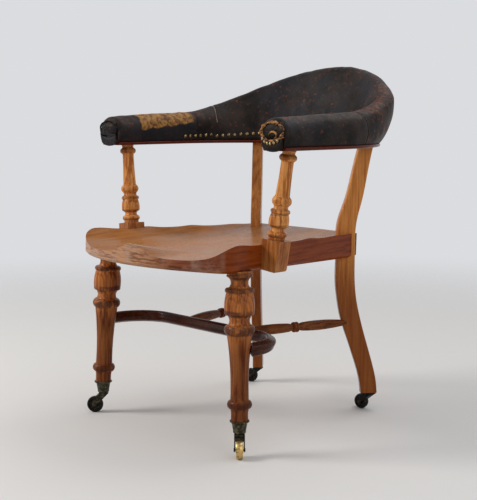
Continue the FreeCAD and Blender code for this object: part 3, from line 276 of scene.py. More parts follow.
def leather_piece(name, start, stop, material, node):
    """A stretch of stuffed leather that stands for one of the soft solids."""
    count = math.ceil(abs(stop - start) / LEATHER_STEP)
    places = [mix(start, stop, index / count) for index in range(count + 1)]
    nose_end = HALF_LENGTH - NOSE
    places = [place for place in places if abs(place) < nose_end or abs(place) == HALF_LENGTH]
    for turn in (15, 30, 45, 60, 75, 90):
        ahead = NOSE * (1 - math.cos(math.radians(turn)))
        for side in (-1, 1):
            place = side * (HALF_LENGTH - ahead)
            if min(start, stop) < place < max(start, stop):
                places.append(place)
    form = bmesh.new()
    loft(form, [leather_ring(place) for place in sorted(places)])
    piece = new_piece(name, form, material)
    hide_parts(node)


# Colours and material helpers

def srgb(red, green, blue):
    """A colour given as it looks on screen, 0 to 255, as the shader wants it."""
    channels = []
    for amount in (red, green, blue):
        value = amount / 255
        channels.append(value / 12.92 if value <= 0.04045 else ((value + 0.055) / 1.055) ** 2.4)
    return (*channels, 1.0)


class Graph:
    """A material's node tree, with a short method for each kind of node used here."""

    def __init__(self, name):
        self.material = bpy.data.materials.new(name)
        self.material.use_nodes = True
        self.tree = self.material.node_tree
        self.shader = self.tree.nodes["Principled BSDF"]
        coordinates = self.node("ShaderNodeTexCoord")
        self.place = coordinates.outputs["Object"]
        self.normal = coordinates.outputs["Normal"]

    def node(self, kind):
        return self.tree.nodes.new(kind)

    def feed(self, socket, value):
        """Links a socket or sets a plain value."""
        if isinstance(value, bpy.types.NodeSocket):
            self.tree.links.new(value, socket)
        else:
            socket.default_value = value

    def math(self, operation, first, second=0.0, clamp=False):
        node = self.node("ShaderNodeMath")
        node.operation = operation
        node.use_clamp = clamp
        self.feed(node.inputs[0], first)
        self.feed(node.inputs[1], second)
        return node.outputs[0]

    def split(self, vector):
        node = self.node("ShaderNodeSeparateXYZ")
        self.feed(node.inputs[0], vector)
        return node.outputs[0], node.outputs[1], node.outputs[2]

    def join(self, x, y, z):
        node = self.node("ShaderNodeCombineXYZ")
        for socket, value in zip(node.inputs, (x, y, z)):
            self.feed(socket, value)
        return node.outputs[0]

    def scaled(self, vector, amounts):
        node = self.node("ShaderNodeVectorMath")
        node.operation = "MULTIPLY"
        self.feed(node.inputs[0], vector)
        node.inputs[1].default_value = amounts
        return node.outputs[0]

    def moved(self, vector, offset):
        node = self.node("ShaderNodeVectorMath")
        node.operation = "ADD"
        self.feed(node.inputs[0], vector)
        node.inputs[1].default_value = offset
        return node.outputs[0]

    def noise(self, vector, scale, detail=3.0, roughness=0.5):
        node = self.node("ShaderNodeTexNoise")
        self.feed(node.inputs["Vector"], vector)
        node.inputs["Scale"].default_value = scale
        node.inputs["Detail"].default_value = detail
        node.inputs["Roughness"].default_value = roughness
        return node.outputs["Fac"]

    def cells(self, vector, scale, feature="F1"):
        node = self.node("ShaderNodeTexVoronoi")
        node.feature = feature
        self.feed(node.inputs["Vector"], vector)
        node.inputs["Scale"].default_value = scale
        return node.outputs["Distance"]

    def step(self, value, low, high):
        """A smooth climb from 0 at low to 1 at high, either way round."""
        node = self.node("ShaderNodeMapRange")
        node.interpolation_type = "SMOOTHSTEP"
        self.feed(node.inputs["Value"], value)
        node.inputs["From Min"].default_value = low
        node.inputs["From Max"].default_value = high
        return node.outputs["Result"]

    def mixed(self, share, first, second):
        node = self.node("ShaderNodeMix")
        node.data_type = "RGBA"
        self.feed(node.inputs["Factor"], share)
        self.feed(node.inputs["A"], first)
        self.feed(node.inputs["B"], second)
        return node.outputs["Result"]

    def bump(self, height, strength, distance):
        node = self.node("ShaderNodeBump")
        node.inputs["Strength"].default_value = strength
        node.inputs["Distance"].default_value = distance
        self.feed(node.inputs["Height"], height)
        self.feed(self.shader.inputs["Normal"], node.outputs["Normal"])

    def both(self, first, second):
        return self.math("MULTIPLY", first, second)

    def plus(self, first, second, clamp=False):
        return self.math("ADD", first, second, clamp)

    def from_axis(self, x, y):
        """The distance from an upright axis."""
        return self.math("SQRT", self.plus(self.both(x, x), self.both(y, y)))

    def set(self, **sockets):
        """Sets or links the shader's sockets, named with underscores for spaces."""
        for name, value in sockets.items():
            self.feed(self.shader.inputs[name.replace("_", " ")], value)


# Wood: scales are waves per metre across the grain, colours are light, dark and grime

STREAK_SCALE = 150
FIBRE_SCALE = 520
PORE_SCALE = 800
GRAIN_DEPTH = 0.5 * MM
WOOD_SPECULAR = 0.08
COAT_ROUGHNESS = 0.16

LEG_COLOURS = ((192, 118, 60), (106, 48, 18), (46, 22, 14))
POST_COLOURS = ((236, 166, 92), (160, 88, 36), (78, 38, 14))
REAR_LEG_COLOURS = ((216, 144, 74), (158, 88, 34), (84, 42, 16))
RAIL_COLOURS = ((104, 38, 14), (66, 20, 8), (30, 12, 8))
HOOP_COLOURS = ((80, 40, 24), (46, 20, 13), (28, 15, 11))
STRETCHER_COLOURS = ((132, 76, 36), (80, 38, 16), (44, 22, 14))
SEAT_COLOURS = ((176, 114, 58), (132, 74, 30), (66, 38, 20))


def wood(name, pith, ring, colours, along="Z", streaks=0.5, rings=0.3, gloss=0.3):
    """Old varnished wood: growth rings round a pith line, streaks, fibres and pores along
    it, and slow changes of tone."""
    light, dark, grime = (srgb(*colour) for colour in colours)
    graph = Graph(name)
    x, y, z = graph.split(graph.moved(graph.place, tuple(-value for value in pith)))
    if along == "Y":
        z, y = y, z
    if along == "X":
        z, x = x, z
    grain = graph.join(x, y, z)
    slow = graph.noise(graph.scaled(grain, (1, 1, 0.15)), 22, detail=2)
    bent = graph.plus(graph.from_axis(x, y), graph.both(slow, ring * 4.0))
    cycle = graph.math("FRACT", graph.math("DIVIDE", bent, ring))
    late = graph.both(graph.step(cycle, 0.2, 0.85), graph.step(cycle, 1.0, 0.88))
    drawn_out = graph.scaled(grain, (1, 1, 0.05))
    streak = graph.noise(drawn_out, STREAK_SCALE, detail=4, roughness=0.6)
    fibre = graph.noise(graph.scaled(grain, (1, 1, 0.03)), FIBRE_SCALE, detail=4, roughness=0.65)
    pores = graph.step(graph.noise(drawn_out, PORE_SCALE, detail=1), 0.62, 0.74)
    tone = graph.noise(graph.scaled(grain, (1, 1, 0.4)), 9, detail=3)
    shade = graph.both(late, rings)
    shade = graph.plus(shade, graph.both(graph.step(streak, 0.38, 0.68), streaks))
    shade = graph.plus(shade, graph.both(graph.step(fibre, 0.35, 0.7), 0.3 * streaks))
    shade = graph.plus(shade, graph.both(graph.step(tone, 0.35, 0.7), 0.3), clamp=True)
    graph.grain = grain
    graph.grime = grime
    graph.colour = graph.mixed(graph.both(pores, 0.4), graph.mixed(shade, light, dark), grime)
    graph.gloss = gloss
    graph.relief = graph.plus(graph.both(fibre, 0.6), graph.both(pores, -0.6))
    return graph


def stain_and_painted_light(graph, share, amount, colour=None):
    """Mixes a colour, or the wood's grime, into a wood where share is 1, by an amount. Callers use it
    for real stains and wear, and also for painted shade and painted sheen.
    """
    graph.colour = graph.mixed(graph.both(share, amount), graph.colour, colour or graph.grime)


def worn(graph, amount, scale):
    """Irregular darker patches, drawn out along the grain."""
    patches = graph.noise(graph.scaled(graph.grain, (1, 1, 0.3)), scale, detail=5, roughness=0.6)
    stain_and_painted_light(graph, graph.step(patches, 0.52, 0.72), amount)


def finished(graph, bump, coat=0.05):
    """Connects a wood's colour, gloss and relief."""
    uneven = graph.noise(graph.place, 60, detail=4)
    rough = graph.plus(graph.both(uneven, 0.25), graph.gloss - 0.12)
    graph.set(Base_Color=graph.colour, Roughness=rough)
    graph.shader.inputs["Specular IOR Level"].default_value = WOOD_SPECULAR
    graph.shader.inputs["Coat Weight"].default_value = coat
    graph.shader.inputs["Coat Roughness"].default_value = COAT_ROUGHNESS
    graph.bump(graph.relief, bump, GRAIN_DEPTH)
    return graph.material


def below(graph, high, low):
    """1 below the lower height above the floor, fading to 0 at the higher one."""
    return graph.step(graph.split(graph.place)[2], high, low)


def bands(graph, heights):
    """1 within each height (middle, half width) above the floor, fading at the edges."""
    z = graph.split(graph.place)[2]
    total = 0.0
    for middle, half in heights:
        away = graph.math("ABSOLUTE", graph.math("SUBTRACT", z, middle * MM))
        near = graph.step(away, half * 1.35 * MM, half * 0.6 * MM)
        total = graph.plus(total, near, clamp=True)
    ragged = graph.step(graph.noise(graph.place, 55, detail=4), 0.2, 0.6)
    return graph.both(total, ragged)


# Dark rings of the turned pieces: height and half width in mm

LEG_BANDS = ((391, 9), (361, 5), (311, 7), (275, 10), (114, 8))
POST_BANDS = ((641, 6), (528, 3), (518, 3), (492, 3), (471, 3))


def leg_wood(side):
    """The front legs: red-brown and streaked, with dark rings at set heights (painted shade under the
    vase) and darker shafts.
    """
    pith = (side * 0.225, -0.22, 0)
    graph = wood("leg_wood_" + side_name(side), pith, 4.5 * MM, LEG_COLOURS,
                 streaks=0.75, rings=0.25, gloss=0.3)
    worn(graph, 0.8, 18)
    # Dark rings at set heights; the band at the vase's underside is painted shade.
    stain_and_painted_light(graph, bands(graph, LEG_BANDS), 0.8, srgb(62, 34, 26))
    stain_and_painted_light(graph, below(graph, 0.285, 0.22), 0.55, srgb(64, 22, 6))
    return finished(graph, 0.3)


def post_wood():
    """The arm posts: golden and finely streaked along the grain."""
    graph = wood("post_wood", (0.25, -0.10, 0), 4.0 * MM, POST_COLOURS,
                 streaks=0.8, rings=0.2, gloss=0.26)
    worn(graph, 0.35, 26)
    stain_and_painted_light(graph, bands(graph, POST_BANDS), 0.6, srgb(92, 48, 22))
    stain_and_painted_light(graph, below(graph, 0.475, 0.46), 0.55, srgb(112, 50, 18))
    return finished(graph, 0.25, coat=0.08)


def rear_leg_wood():
    """The sawn rear legs: golden above the seat, and browner below it with painted shade under the
    seat.
    """
    graph = wood("rear_leg_wood", (0.05, 0.12, 0), 9 * MM, REAR_LEG_COLOURS,
                 streaks=0.55, rings=0.2, gloss=0.24)
    worn(graph, 0.3, 10)
    # Painted shade under the seat: a darker red-brown from the seat's height downwards.
    stain_and_painted_light(graph, below(graph, 0.46, 0.25), 0.75, srgb(100, 38, 6))
    return finished(graph, 0.15, coat=0.08)


def rail_wood():
    """The rail: dark, red and glossy."""
    graph = wood("rail_wood", (0, 0.05, 0.5), 6 * MM, RAIL_COLOURS, streaks=0.4, gloss=0.22)
    return finished(graph, 0.15, coat=0.12)


def hoop_wood():
    """The bent hoop: a dark purple brown."""
    graph = wood("hoop_wood", (0, -0.1, 0.18), 5 * MM, HOOP_COLOURS,
                 along="X", streaks=0.6, gloss=0.26)
    worn(graph, 0.5, 30)
    return finished(graph, 0.12, coat=0.06)


def stretcher_wood():
    """The side stretchers: brown, with their grain from front to back."""
    graph = wood("stretcher_wood", (0.15, 0, 0.2), 4 * MM, STRETCHER_COLOURS,
                 along="Y", streaks=0.7, gloss=0.28)
    return finished(graph, 0.2)


def stain_and_shade_flank(graph, wall):
    """The seat's sides: deep red-brown with darker veins. The deep red-brown is partly the wood's
    darker varnish and partly painted shade of the side faces.
    """
    aside = graph.math("ABSOLUTE", graph.split(graph.normal)[0])
    flank = graph.both(wall, graph.step(aside, 0.35, 0.7))
    # Faces that point sideways get the deep red-brown: darker varnish, with painted shade as well.
    stain_and_painted_light(graph, flank, 0.85, srgb(124, 46, 6))
    veins = graph.noise(graph.scaled(graph.place, (8, 8, 130)), 1.0, detail=5, roughness=0.65)
    stain_and_painted_light(graph, graph.both(flank, graph.step(veins, 0.45, 0.62)), 0.55, srgb(78, 24, 4))


def stain_front(graph, front, cloudy):
    """The seat's front: pale and layered, deep red at the sitter's left, with grey wear."""
    layers = graph.noise(graph.scaled(graph.place, (26, 26, 190)), 1.0, detail=5, roughness=0.65)
    left_part = graph.step(graph.split(graph.place)[0], 0.02, 0.16)
    stain_and_painted_light(graph, front, 0.75, srgb(190, 142, 108))
    stain_and_painted_light(graph, graph.both(front, graph.step(layers, 0.42, 0.62)), 0.5, srgb(118, 72, 46))
    stain_and_painted_light(graph, graph.both(front, left_part), 0.8, srgb(104, 32, 4))
    stain_and_painted_light(graph, graph.both(front, graph.step(layers, 0.5, 0.6)), 0.5, srgb(60, 22, 10))
    stain_and_painted_light(graph, graph.both(front, graph.step(cloudy, 0.42, 0.7)), 0.5, srgb(168, 140, 122))


def seat_wood(name, pith_x):
    """A seat board: golden on top with greyish patches of painted sheen, deep red-brown at its
    sides (partly painted shade), with end grain and grey wear at its front."""
    graph = wood(name, (pith_x, 0, 0.30), 9 * MM, SEAT_COLOURS,
                 along="Y", streaks=0.45, rings=0.15, gloss=0.3)
    worn(graph, 0.25, 8)
    up = graph.split(graph.normal)[2]
    ahead = graph.both(graph.split(graph.normal)[1], -1.0)
    wall = graph.step(up, 0.55, 0.25)
    cloudy = graph.noise(graph.place, 24, detail=5, roughness=0.6)
    # Greyish patches on the top faces only: painted sheen.
    patches = graph.step(graph.noise(graph.place, 7, detail=4), 0.42, 0.62)
    stain_and_painted_light(graph, graph.both(patches, graph.step(up, 0.8, 0.97)), 0.45, srgb(150, 114, 86))
    stain_and_shade_flank(graph, wall)
    stain_front(graph, graph.both(wall, graph.step(ahead, 0.45, 0.8)), cloudy)
    lip = graph.both(graph.step(up, 0.985, 0.93), graph.step(ahead, 0.08, 0.2))
    edge = graph.both(graph.both(lip, graph.step(up, 0.1, 0.35)), graph.step(cloudy, 0.25, 0.5))
    stain_and_painted_light(graph, edge, 0.85, srgb(70, 58, 56))
    return finished(graph, 0.2)


# Leather

LEATHER_DEEP = srgb(17, 13, 10)
LEATHER_BROWN = srgb(48, 37, 31)
# A painted bluish reflection of the sky from the window
LEATHER_SKY_REFLECTION = srgb(36, 38, 46)
LEATHER_CRACK = srgb(14, 11, 10)
LEATHER_SCUFF = srgb(124, 62, 28)
BARE_LIGHT = srgb(170, 122, 62)
BARE_DARK = srgb(84, 50, 26)
LEATHER_SPECULAR = 0.12
PATCH_START = -118 * MM
PATCH_END = 62 * MM
PATCH_LOW = 700 * MM
PATCH_RAGS = 30 * MM


def bare_patch(graph, scuffs):
    """1 on the stretch of the right arm's top where the dye has gone, with ragged edges."""
    y, z = graph.split(graph.place)[1:]
    ragged = graph.math("SUBTRACT", graph.noise(graph.place, 30, detail=6), 0.5)
    ragged = graph.both(ragged, PATCH_RAGS)
    y = graph.plus(y, ragged)
    drop = graph.plus(graph.both(ragged, 0.6), graph.both(y, -0.09))
    z = graph.plus(z, drop)
    bare = graph.step(y, PATCH_START, PATCH_START + 6 * MM)
    bare = graph.both(bare, graph.step(y, PATCH_END, PATCH_END - 22 * MM))
    bare = graph.both(bare, graph.step(z, PATCH_LOW, PATCH_LOW + 5 * MM))
    return graph.both(bare, graph.step(scuffs, 0.70, 0.56))


def scuff_share(graph, scuffs):
    """How rubbed the leather is: most on its crests and at the back's left corner."""
    x, y, up = (*graph.split(graph.place)[:2], graph.split(graph.normal)[2])
    corner = graph.both(graph.step(x, 0.12, 0.27), graph.step(y, -0.02, 0.14))
    level = graph.plus(scuffs, graph.both(graph.step(up, -0.1, 0.9), 0.055))
    level = graph.plus(level, graph.both(corner, 0.05))
    level = graph.plus(level, graph.both(graph.noise(graph.place, 11, detail=2), 0.12))
    return graph.both(graph.step(level, 0.645, 0.75), 0.75)


def leather(name, patched=False):
    """Cracked black-brown leather, rubbed to orange-brown on its crests, with bluish patches of
    painted sky reflection.
    """
    graph = Graph(name)
    clouds = graph.noise(graph.place, 14, detail=5, roughness=0.6)
    base = graph.mixed(graph.step(clouds, 0.35, 0.68), LEATHER_DEEP, LEATHER_BROWN)
    # Bluish patches mixed into the leather: painted reflection of the sky.
    sky_reflection = graph.step(graph.noise(graph.place, 6, detail=3), 0.5, 0.66)
    base = graph.mixed(graph.both(sky_reflection, 0.45), base, LEATHER_SKY_REFLECTION)
    scuffs = graph.noise(graph.place, 95, detail=8, roughness=0.78)
    base = graph.mixed(scuff_share(graph, scuffs), base, LEATHER_SCUFF)
    crack = graph.step(graph.cells(graph.place, 200, "DISTANCE_TO_EDGE"), 0.10, 0.02)
    base = graph.mixed(graph.both(crack, 0.3), base, LEATHER_CRACK)
    if patched:
        mottle = graph.noise(graph.place, 80, detail=5, roughness=0.7)
        tan = graph.mixed(graph.step(mottle, 0.38, 0.64), BARE_LIGHT, BARE_DARK)
        base = graph.mixed(bare_patch(graph, scuffs), base, tan)
    rough = graph.plus(graph.both(graph.noise(graph.place, 45, detail=4), 0.3), 0.34)
    graph.set(Base_Color=base, Roughness=rough)
    graph.shader.inputs["Specular IOR Level"].default_value = LEATHER_SPECULAR
    fine = graph.cells(graph.place, 620)
    height = graph.plus(graph.both(fine, 0.3), graph.both(scuffs, 0.8))
    height = graph.math("SUBTRACT", height, graph.both(crack, 0.5))
    graph.bump(height, 0.35, 0.8 * MM)
    return graph.material


def worn_piping():
    """The welt's leather, rubbed to tan."""
    graph = Graph("worn_piping")
    blots = graph.noise(graph.place, 110, detail=5, roughness=0.7)
    colour = graph.mixed(graph.step(blots, 0.44, 0.58), srgb(176, 122, 66), srgb(40, 24, 16))
    graph.set(Base_Color=colour, Roughness=0.6)
    graph.shader.inputs["Specular IOR Level"].default_value = 0.2
    graph.bump(blots, 0.5, 1.0 * MM)
    return graph.material


# Metal

def brass(name, bright, dark, tarnish, rough=0.32, flutes=None):
    """Cast brass with tarnish. Flutes are (x, y, count): upright reeds round an axis."""
    graph = Graph(name)
    spots = graph.noise(graph.place, 160, detail=5, roughness=0.65)
    share = graph.step(spots, 0.62 - tarnish * 0.4, 0.75 - tarnish * 0.25)
    graph.set(Base_Color=graph.mixed(share, srgb(*bright), srgb(*dark)), Metallic=0.85)
    graph.set(Roughness=graph.plus(graph.both(spots, 0.3), rough - 0.1))
    relief = graph.both(spots, 0.3)
    if flutes:
        axis_x, axis_y, count = flutes
        x, y = graph.split(graph.moved(graph.place, (-axis_x, -axis_y, 0)))[:2]
        wave = graph.math("SINE", graph.both(graph.math("ARCTAN2", y, x), float(count)))
        relief = graph.plus(relief, graph.both(wave, 0.8))
    graph.bump(relief, 0.6, 0.8 * MM)
    return graph.material


def iron():
    """The axles and pins: dark iron with a little rust."""
    graph = Graph("iron")
    rust = graph.noise(graph.place, 220, detail=5)
    graph.set(Base_Color=graph.mixed(graph.step(rust, 0.4, 0.65), srgb(52, 50, 48), srgb(70, 48, 34)))
    graph.set(Metallic=0.8, Roughness=0.5)
    graph.bump(rust, 0.4, 0.4 * MM)
    return graph.material


def dress(material, *names):
    """Gives CAD nodes a material."""
    for name in names:
        node = nodes[name]
        node.data.materials.clear()
        node.data.materials.append(material)


def dress_wood():
    dress(seat_wood("seat_wood_left", 0.16), "seat_board_left")
    dress(seat_wood("seat_wood_centre", -0.03), "seat_board_centre")
    dress(seat_wood("seat_wood_right", -0.19), "seat_board_right")
    dress(leg_wood(1), "front_leg_left")
    dress(leg_wood(-1), "front_leg_right")
    dress(post_wood(), "arm_post_left", "arm_post_right")
    dress(rear_leg_wood(), "rear_leg_left", "rear_leg_right")
    dress(rail_wood(), "rail_left", "rail_right", "rail_back")
    dress(hoop_wood(), "hoop_stretcher")
    dress(stretcher_wood(), "side_stretcher_left", "side_stretcher_right")


CUP_FLUTES = 24


def dress_metal():
    old = brass("old_brass", (84, 76, 54), (34, 33, 28), 0.75, rough=0.42)
    black = brass("black_brass", (58, 54, 46), (26, 25, 23), 0.85, rough=0.5)
    polished = brass("polished_brass", (206, 172, 108), (104, 78, 40), 0.35, rough=0.3)
    for side in ("left", "right"):
        low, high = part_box("front_caster_cup_" + side)
        centre = (low + high) / 2
        cup = brass("cup_brass_" + side, (104, 98, 72), (44, 44, 36), 0.7, rough=0.4,
                    flutes=(centre.x, centre.y, CUP_FLUTES))
        dress(cup, "front_caster_cup_" + side)
        dress(old, "front_caster_horn_" + side)
        dress(black, "rear_caster_horn_" + side, "rear_caster_plate_" + side,
              "rear_caster_wheel_" + side)
    dress(polished, "front_caster_wheel_left")
    dress(black, "front_caster_wheel_right")
    rods = [name for name in nodes if "_axle_" in name or "_pin_" in name]
    dress(iron(), *rods)


# Leather pieces, welts and nails

def make_leather():
    """The three stuffed stretches. Gives back the plain leather."""
    plain = leather("leather")
    far = leather("leather_worn", patched=True)
    leather_piece("back_leather", -SEAM, SEAM, plain, "back_pad")
    leather_piece("arm_leather_left", SEAM + SEAM_GAP, HALF_LENGTH, plain, "arm_pad_left")
    leather_piece("arm_leather_right", -HALF_LENGTH, -SEAM - SEAM_GAP, far, "arm_pad_right")
    return plain


def dome_nail(form, place, outward, radius, height):
    """A domed nail head that stands on a surface."""
    side = outward.orthogonal().normalized()
    across = outward.cross(side)
    rings = []
    for turn in (0, 25, 50, 72):
        reach = radius * math.cos(math.radians(turn))
        middle = place + outward * height * math.sin(math.radians(turn))
        rings.append(circle(middle, side * reach, across * reach, 12))
    loft(form, rings)


def nail_material():
    graph = Graph("nail_brass")
    wear = graph.noise(graph.place, 300, detail=4)
    colour = graph.mixed(graph.step(wear, 0.4, 0.6), srgb(176, 150, 104), srgb(84, 66, 44))
    graph.set(Base_Color=colour)
    graph.set(Metallic=0.7, Roughness=0.38)
    graph.bump(wear, 0.3, 0.4 * MM)
    return graph.material


LAST_NAIL = 87


def inner_edge_nails():
    """A row of nails along the leather's inner lower edge, round the back."""
    form = bmesh.new()
    reach = along_at(LAST_NAIL)
    count = round(2 * reach / NAIL_PITCH)
    for index in range(count + 1):
        skin = leather_skin(mix(-reach, reach, index / count))
        point, normal = next(row for row in reversed(skin) if row[0].z > PAD_LOW + NAIL_RISE)
        dome_nail(form, point - normal * 0.2 * MM, normal, radius=4.4 * MM, height=3.0 * MM)
    nails = new_piece("inner_nails", form, nail_material())


def front_frame(side):
    """The middle of an arm's front on the rail's line, the way forward and the way out."""
    base, outward = horseshoe(side * (HALF_LENGTH + SEAM_GAP))
    behind = horseshoe(side * (HALF_LENGTH - 10 * MM))[0]
    return base, (base - behind).normalized(), outward


FACING_MIDDLE = 695 * MM
FACING_WIDE = 28.5 * MM
FACING_TALL = 16.5 * MM
FACING_THICK = 1.5 * MM
FACING_FOLDS = 1.6 * MM
WELT_RADIUS = 2.6 * MM


def facing_panel(side, bulge, material):
    """The oval leather front of an arm, domed forward and full of small folds."""
    base, forward, outward = front_frame(side)
    spokes = 48
    rows = []
    for share in (1.0, 0.94, 0.86, 0.74, 0.6, 0.45, 0.3, 0.15):
        row = []
        for step in range(spokes):
            angle = 2 * math.pi * step / spokes
            swirl = noise.noise(Vector((share * 4 + side, math.cos(angle) * 2, math.sin(angle) * 2)))
            fold = FACING_FOLDS * swirl * smooth(1.0 - share, 0.0, 0.12)
            lift = bulge * (1 - share ** 3) + fold
            reach_out = outward * (FACING_WIDE * share * math.cos(angle))
            height = Vector((0, 0, FACING_MIDDLE + FACING_TALL * share * math.sin(angle)))
            row.append(base + reach_out + height + forward * (FACING_THICK + lift))
        rows.append(row)
    back = [point - forward * FACING_THICK for point in rows[0]]
    form = bmesh.new()
    loft(form, [back] + rows)
    panel = new_piece("facing_leather_" + side_name(side), form, material)
    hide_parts("facing_" + side_name(side))


def facing_welt(side, thick, material):
    """The lumpy, torn welt round the oval."""
    base, forward, outward = front_frame(side)
    wide = FACING_WIDE + WELT_RADIUS + SEAM_GAP
    tall = FACING_TALL + WELT_RADIUS + SEAM_GAP
    centre = base + Vector((0, 0, FACING_MIDDLE)) + forward * WELT_RADIUS
    steps = 120
    loops = []
    for step in range(steps):
        angle = 2 * math.pi * step / steps
        across, upward = math.cos(angle), math.sin(angle)
        lump = noise.noise(Vector((across * 2.6, upward * 2.6, 4.0 + side)))
        shift = noise.noise(Vector((across * 1.7, upward * 1.7, 9.0)))
        radius = WELT_RADIUS * thick * (1 + lump)
        spoke = outward * across * wide + Vector((0, 0, upward * tall))
        middle = centre + spoke * (1 + 0.05 * shift)
        loops.append(circle(middle, spoke.normalized() * radius, forward * radius, 10))
    form = bmesh.new()
    loft_round(form, loops)
    ring = new_piece("welt_" + side_name(side), form, material)
    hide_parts("piping_" + side_name(side))


LIP_HALF = 31 * MM
LIP_THICK = 2.0 * MM
LIP_CREASE = 1.2 * MM


def leather_lip(side, material):
    """The leather that hangs from an arm's welt over the rail's front end."""
    base, forward, outward = front_frame(side)
    columns = 28
    front = []
    for share in (0.0, 0.2, 0.4, 0.6, 0.8, 0.93, 1.0):
        row = []
        for column in range(columns + 1):
            across = 2 * column / columns - 1
            hang = math.sqrt(max(1 - across * across, 0.0))
            low = RAIL_UNDER - 2 * MM + 14 * MM * (1 - hang)
            high = FACING_MIDDLE - (FACING_TALL + 2 * MM) * hang
            crease = noise.noise(Vector((across * 5, share * 3, 1.0 + side))) * LIP_CREASE
            belly = math.sin(math.pi * min(share * 1.1, 1.0))
            depth = 1.5 * MM + 3.5 * MM * belly + crease
            height = Vector((0, 0, mix(high, low, share)))
            row.append(base + outward * (LIP_HALF * across) + height + forward * depth)
        front.append(row)
    back = [[point - forward * LIP_THICK for point in row] for row in reversed(front)]
    form = bmesh.new()
    loft_round(form, front + back)
    bmesh.ops.holes_fill(form, edges=form.edges, sides=0)
    lip = new_piece("leather_lip_" + side_name(side), form, material)


# Nails under the left facing: mm across from the rail's line, and height

FRONT_NAILS = ((-25, 680), (-19, 674), (-11, 671), (-2, 670), (8, 672), (18, 676))


def front_nails():
    """The pale nails that hold the lip of the left arm."""
    base, forward, outward = front_frame(1)
    form = bmesh.new()
    for across, height in FRONT_NAILS:
        place = base + outward * across * MM + Vector((0, 0, height * MM)) + forward * 5.5 * MM
        dome_nail(form, place, forward, radius=4.0 * MM, height=2.6 * MM)
    nails = new_piece("front_nails", form, nail_material())


def torn_curl():
    """The torn strip of welt that curls over the left arm's front."""
    base, forward, outward = front_frame(1)
    centre = base + outward * 5 * MM + Vector((0, 0, 688 * MM)) + forward * 6 * MM
    wide = outward * 11 * MM
    tall = Vector((0, 0, 7 * MM))
    steps = 22
    loops = []
    for step in range(steps + 1):
        share = step / steps
        turn = math.radians(mix(200, -70, share))
        radius = (1.0 + 1.3 * math.sin(math.pi * share)) * MM
        heading = -outward * math.sin(turn) + Vector((0, 0, math.cos(turn)))
        across = heading.cross(forward).normalized()
        middle = centre + wide * math.cos(turn) + tall * math.sin(turn)
        loops.append(circle(middle, across * radius, forward * radius, 8))
    form = bmesh.new()
    loft(form, loops)
    curl = new_piece("torn_curl", form, worn_piping())


def thread(name, distance, first, last, radius, material):
    """A thread that lies on the leather across the horseshoe, between two shares of the
    way from its outer to its inner foot."""
    here = leather_skin(distance)
    beyond = leather_skin(distance + 1 * MM)
    loops = []
    for index in range(round(first * len(here)), round(last * len(here))):
        stray = 1.5 * MM * noise.noise(Vector((index * 0.35, distance * 9, 2.0)))
        point, normal = leather_skin(distance + stray)[index]
        along = (beyond[index][0] - here[index][0]).normalized()
        loops.append(circle(point, along * radius, normal * radius, 8))
    form = bmesh.new()
    loft(form, loops)
    piece = new_piece(name, form, material)


def thread_material(name, colour):
    """Thread of a colour, dirty in places."""
    graph = Graph(name)
    wear = graph.step(graph.noise(graph.place, 260, detail=4), 0.35, 0.7)
    graph.set(Base_Color=graph.mixed(wear, srgb(*colour), srgb(60, 44, 32)), Roughness=0.8)
    return graph.material


def make_facings(plain):
    """Both arms' fronts: the left one is torn, the right one is dark and domed."""
    facing_panel(1, 3 * MM, plain)
    facing_panel(-1, 7 * MM, plain)
    facing_welt(1, 1.25, worn_piping())
    facing_welt(-1, 0.8, plain)
    leather_lip(1, plain)
    leather_lip(-1, plain)
    front_nails()
    torn_curl()


def make_threads():
    """The threads at the right arm's seams."""
    pale = thread_material("pale_thread", (178, 160, 130))
    thread("pale_thread", PALE_SEAM, 0.42, 0.80, 0.9 * MM, pale)
    brown = thread_material("brown_thread", (128, 92, 58))
    for index, offset in enumerate((2.5 * MM, 6.5 * MM)):
        thread("brown_thread_%d" % index, FAR_SEAM - offset, 0.38, 0.74, 0.8 * MM, brown)


# Room, light and camera

CAMERA_PLACE = (1.8991, -1.8365, 0.7394)
CAMERA_YAW = math.radians(46.22)
CAMERA_PITCH = math.radians(7.24)
IMAGE_WIDTH = 477
FOCAL_PIXELS = 1100
SENSOR = 36.0


def make_camera():
    data = bpy.data.cameras.new("camera")
    data.sensor_fit = "HORIZONTAL"
    data.sensor_width = SENSOR
    data.lens = FOCAL_PIXELS * SENSOR / IMAGE_WIDTH
    camera = bpy.data.objects.new("camera", data)
    bpy.context.scene.collection.objects.link(camera)
    camera.location = CAMERA_PLACE
    camera.rotation_euler = (math.pi / 2 - CAMERA_PITCH, 0, CAMERA_YAW)
    bpy.context.scene.camera = camera


def area_light(name, place, target, size, power, colour):
    data = bpy.data.lights.new(name, "AREA")
    data.shape = "DISK"
    data.size = size
    data.energy = power
    data.color = colour
    lamp = bpy.data.objects.new(name, data)
    bpy.context.scene.collection.objects.link(lamp)
    lamp.location = place
    lamp.rotation_euler = (Vector(target) - Vector(place)).to_track_quat("-Z", "Y").to_euler()


# Lamps: name, place, target, size, power and colour

LAMPS = (
    ("window", (-1.9, -2.4, 2.3), (0, 0, 0.5), 1.4, 70, (1.0, 0.98, 0.95)),
    ("fill", (2.6, -0.6, 1.6), (0, 0, 0.45), 2.0, 12, (0.93, 0.96, 1.0)),
    ("top", (0.3, 1.2, 2.8), (0, 0, 0.6), 1.8, 20, (1.0, 1.0, 1.0)),
)
PALE = srgb(219, 220, 223)
ROOM_LIGHT = (0.9, 0.93, 1.0, 1)
ROOM_STRENGTH = 0.5


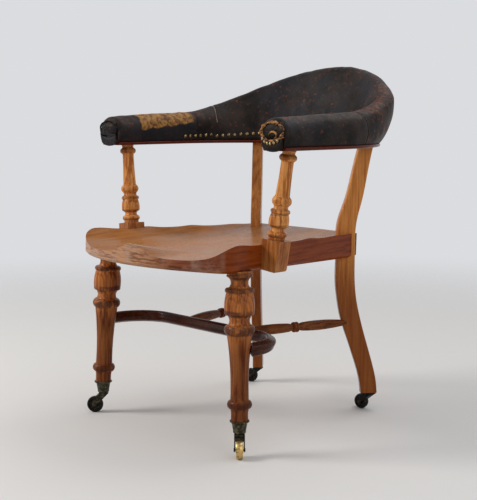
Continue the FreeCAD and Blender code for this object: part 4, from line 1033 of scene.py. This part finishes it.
def make_world():
    """A cool light from all round, and a pale background that metal reflects too."""
    world = bpy.data.worlds.new("studio")
    bpy.context.scene.world = world
    world.use_nodes = True
    tree = world.node_tree
    tree.nodes.clear()
    path = tree.nodes.new("ShaderNodeLightPath")
    seen = path.outputs["Is Camera Ray"]
    for name in ("Is Glossy Ray", "Is Transmission Ray"):
        either = tree.nodes.new("ShaderNodeMath")
        either.operation = "MAXIMUM"
        tree.links.new(seen, either.inputs[0])
        tree.links.new(path.outputs[name], either.inputs[1])
        seen = either.outputs[0]
    light = tree.nodes.new("ShaderNodeBackground")
    light.inputs["Color"].default_value = ROOM_LIGHT
    light.inputs["Strength"].default_value = ROOM_STRENGTH
    pale = tree.nodes.new("ShaderNodeBackground")
    pale.inputs["Color"].default_value = PALE
    chosen = tree.nodes.new("ShaderNodeMixShader")
    tree.links.new(seen, chosen.inputs[0])
    tree.links.new(light.outputs[0], chosen.inputs[1])
    tree.links.new(pale.outputs[0], chosen.inputs[2])
    output = tree.nodes.new("ShaderNodeOutputWorld")
    tree.links.new(chosen.outputs[0], output.inputs[0])


FLOOR_RADIUS = 5.0
FLOOR_FADE = (3.2, 1.1)


def make_floor():
    """A pale round floor that fades into the background at its edge."""
    form = bmesh.new()
    bmesh.ops.create_circle(form, cap_ends=True, segments=96, radius=FLOOR_RADIUS)
    mesh = bpy.data.meshes.new("floor")
    form.to_mesh(mesh)
    form.free()
    floor = bpy.data.objects.new("floor", mesh)
    bpy.context.scene.collection.objects.link(floor)
    graph = Graph("floor")
    x, y = graph.split(graph.place)[:2]
    shown = graph.step(graph.from_axis(x, y), *FLOOR_FADE)
    graph.set(Base_Color=srgb(222, 219, 214), Roughness=0.85, Alpha=shown)
    graph.shader.inputs["Specular IOR Level"].default_value = 0.2
    mesh.materials.append(graph.material)


bpy.context.scene.view_settings.view_transform = "Standard"
make_camera()
for lamp in LAMPS:
    area_light(*lamp)
make_world()
make_floor()
dress_wood()
dress_metal()
black_leather = make_leather()
make_facings(black_leather)
make_threads()
inner_edge_nails()
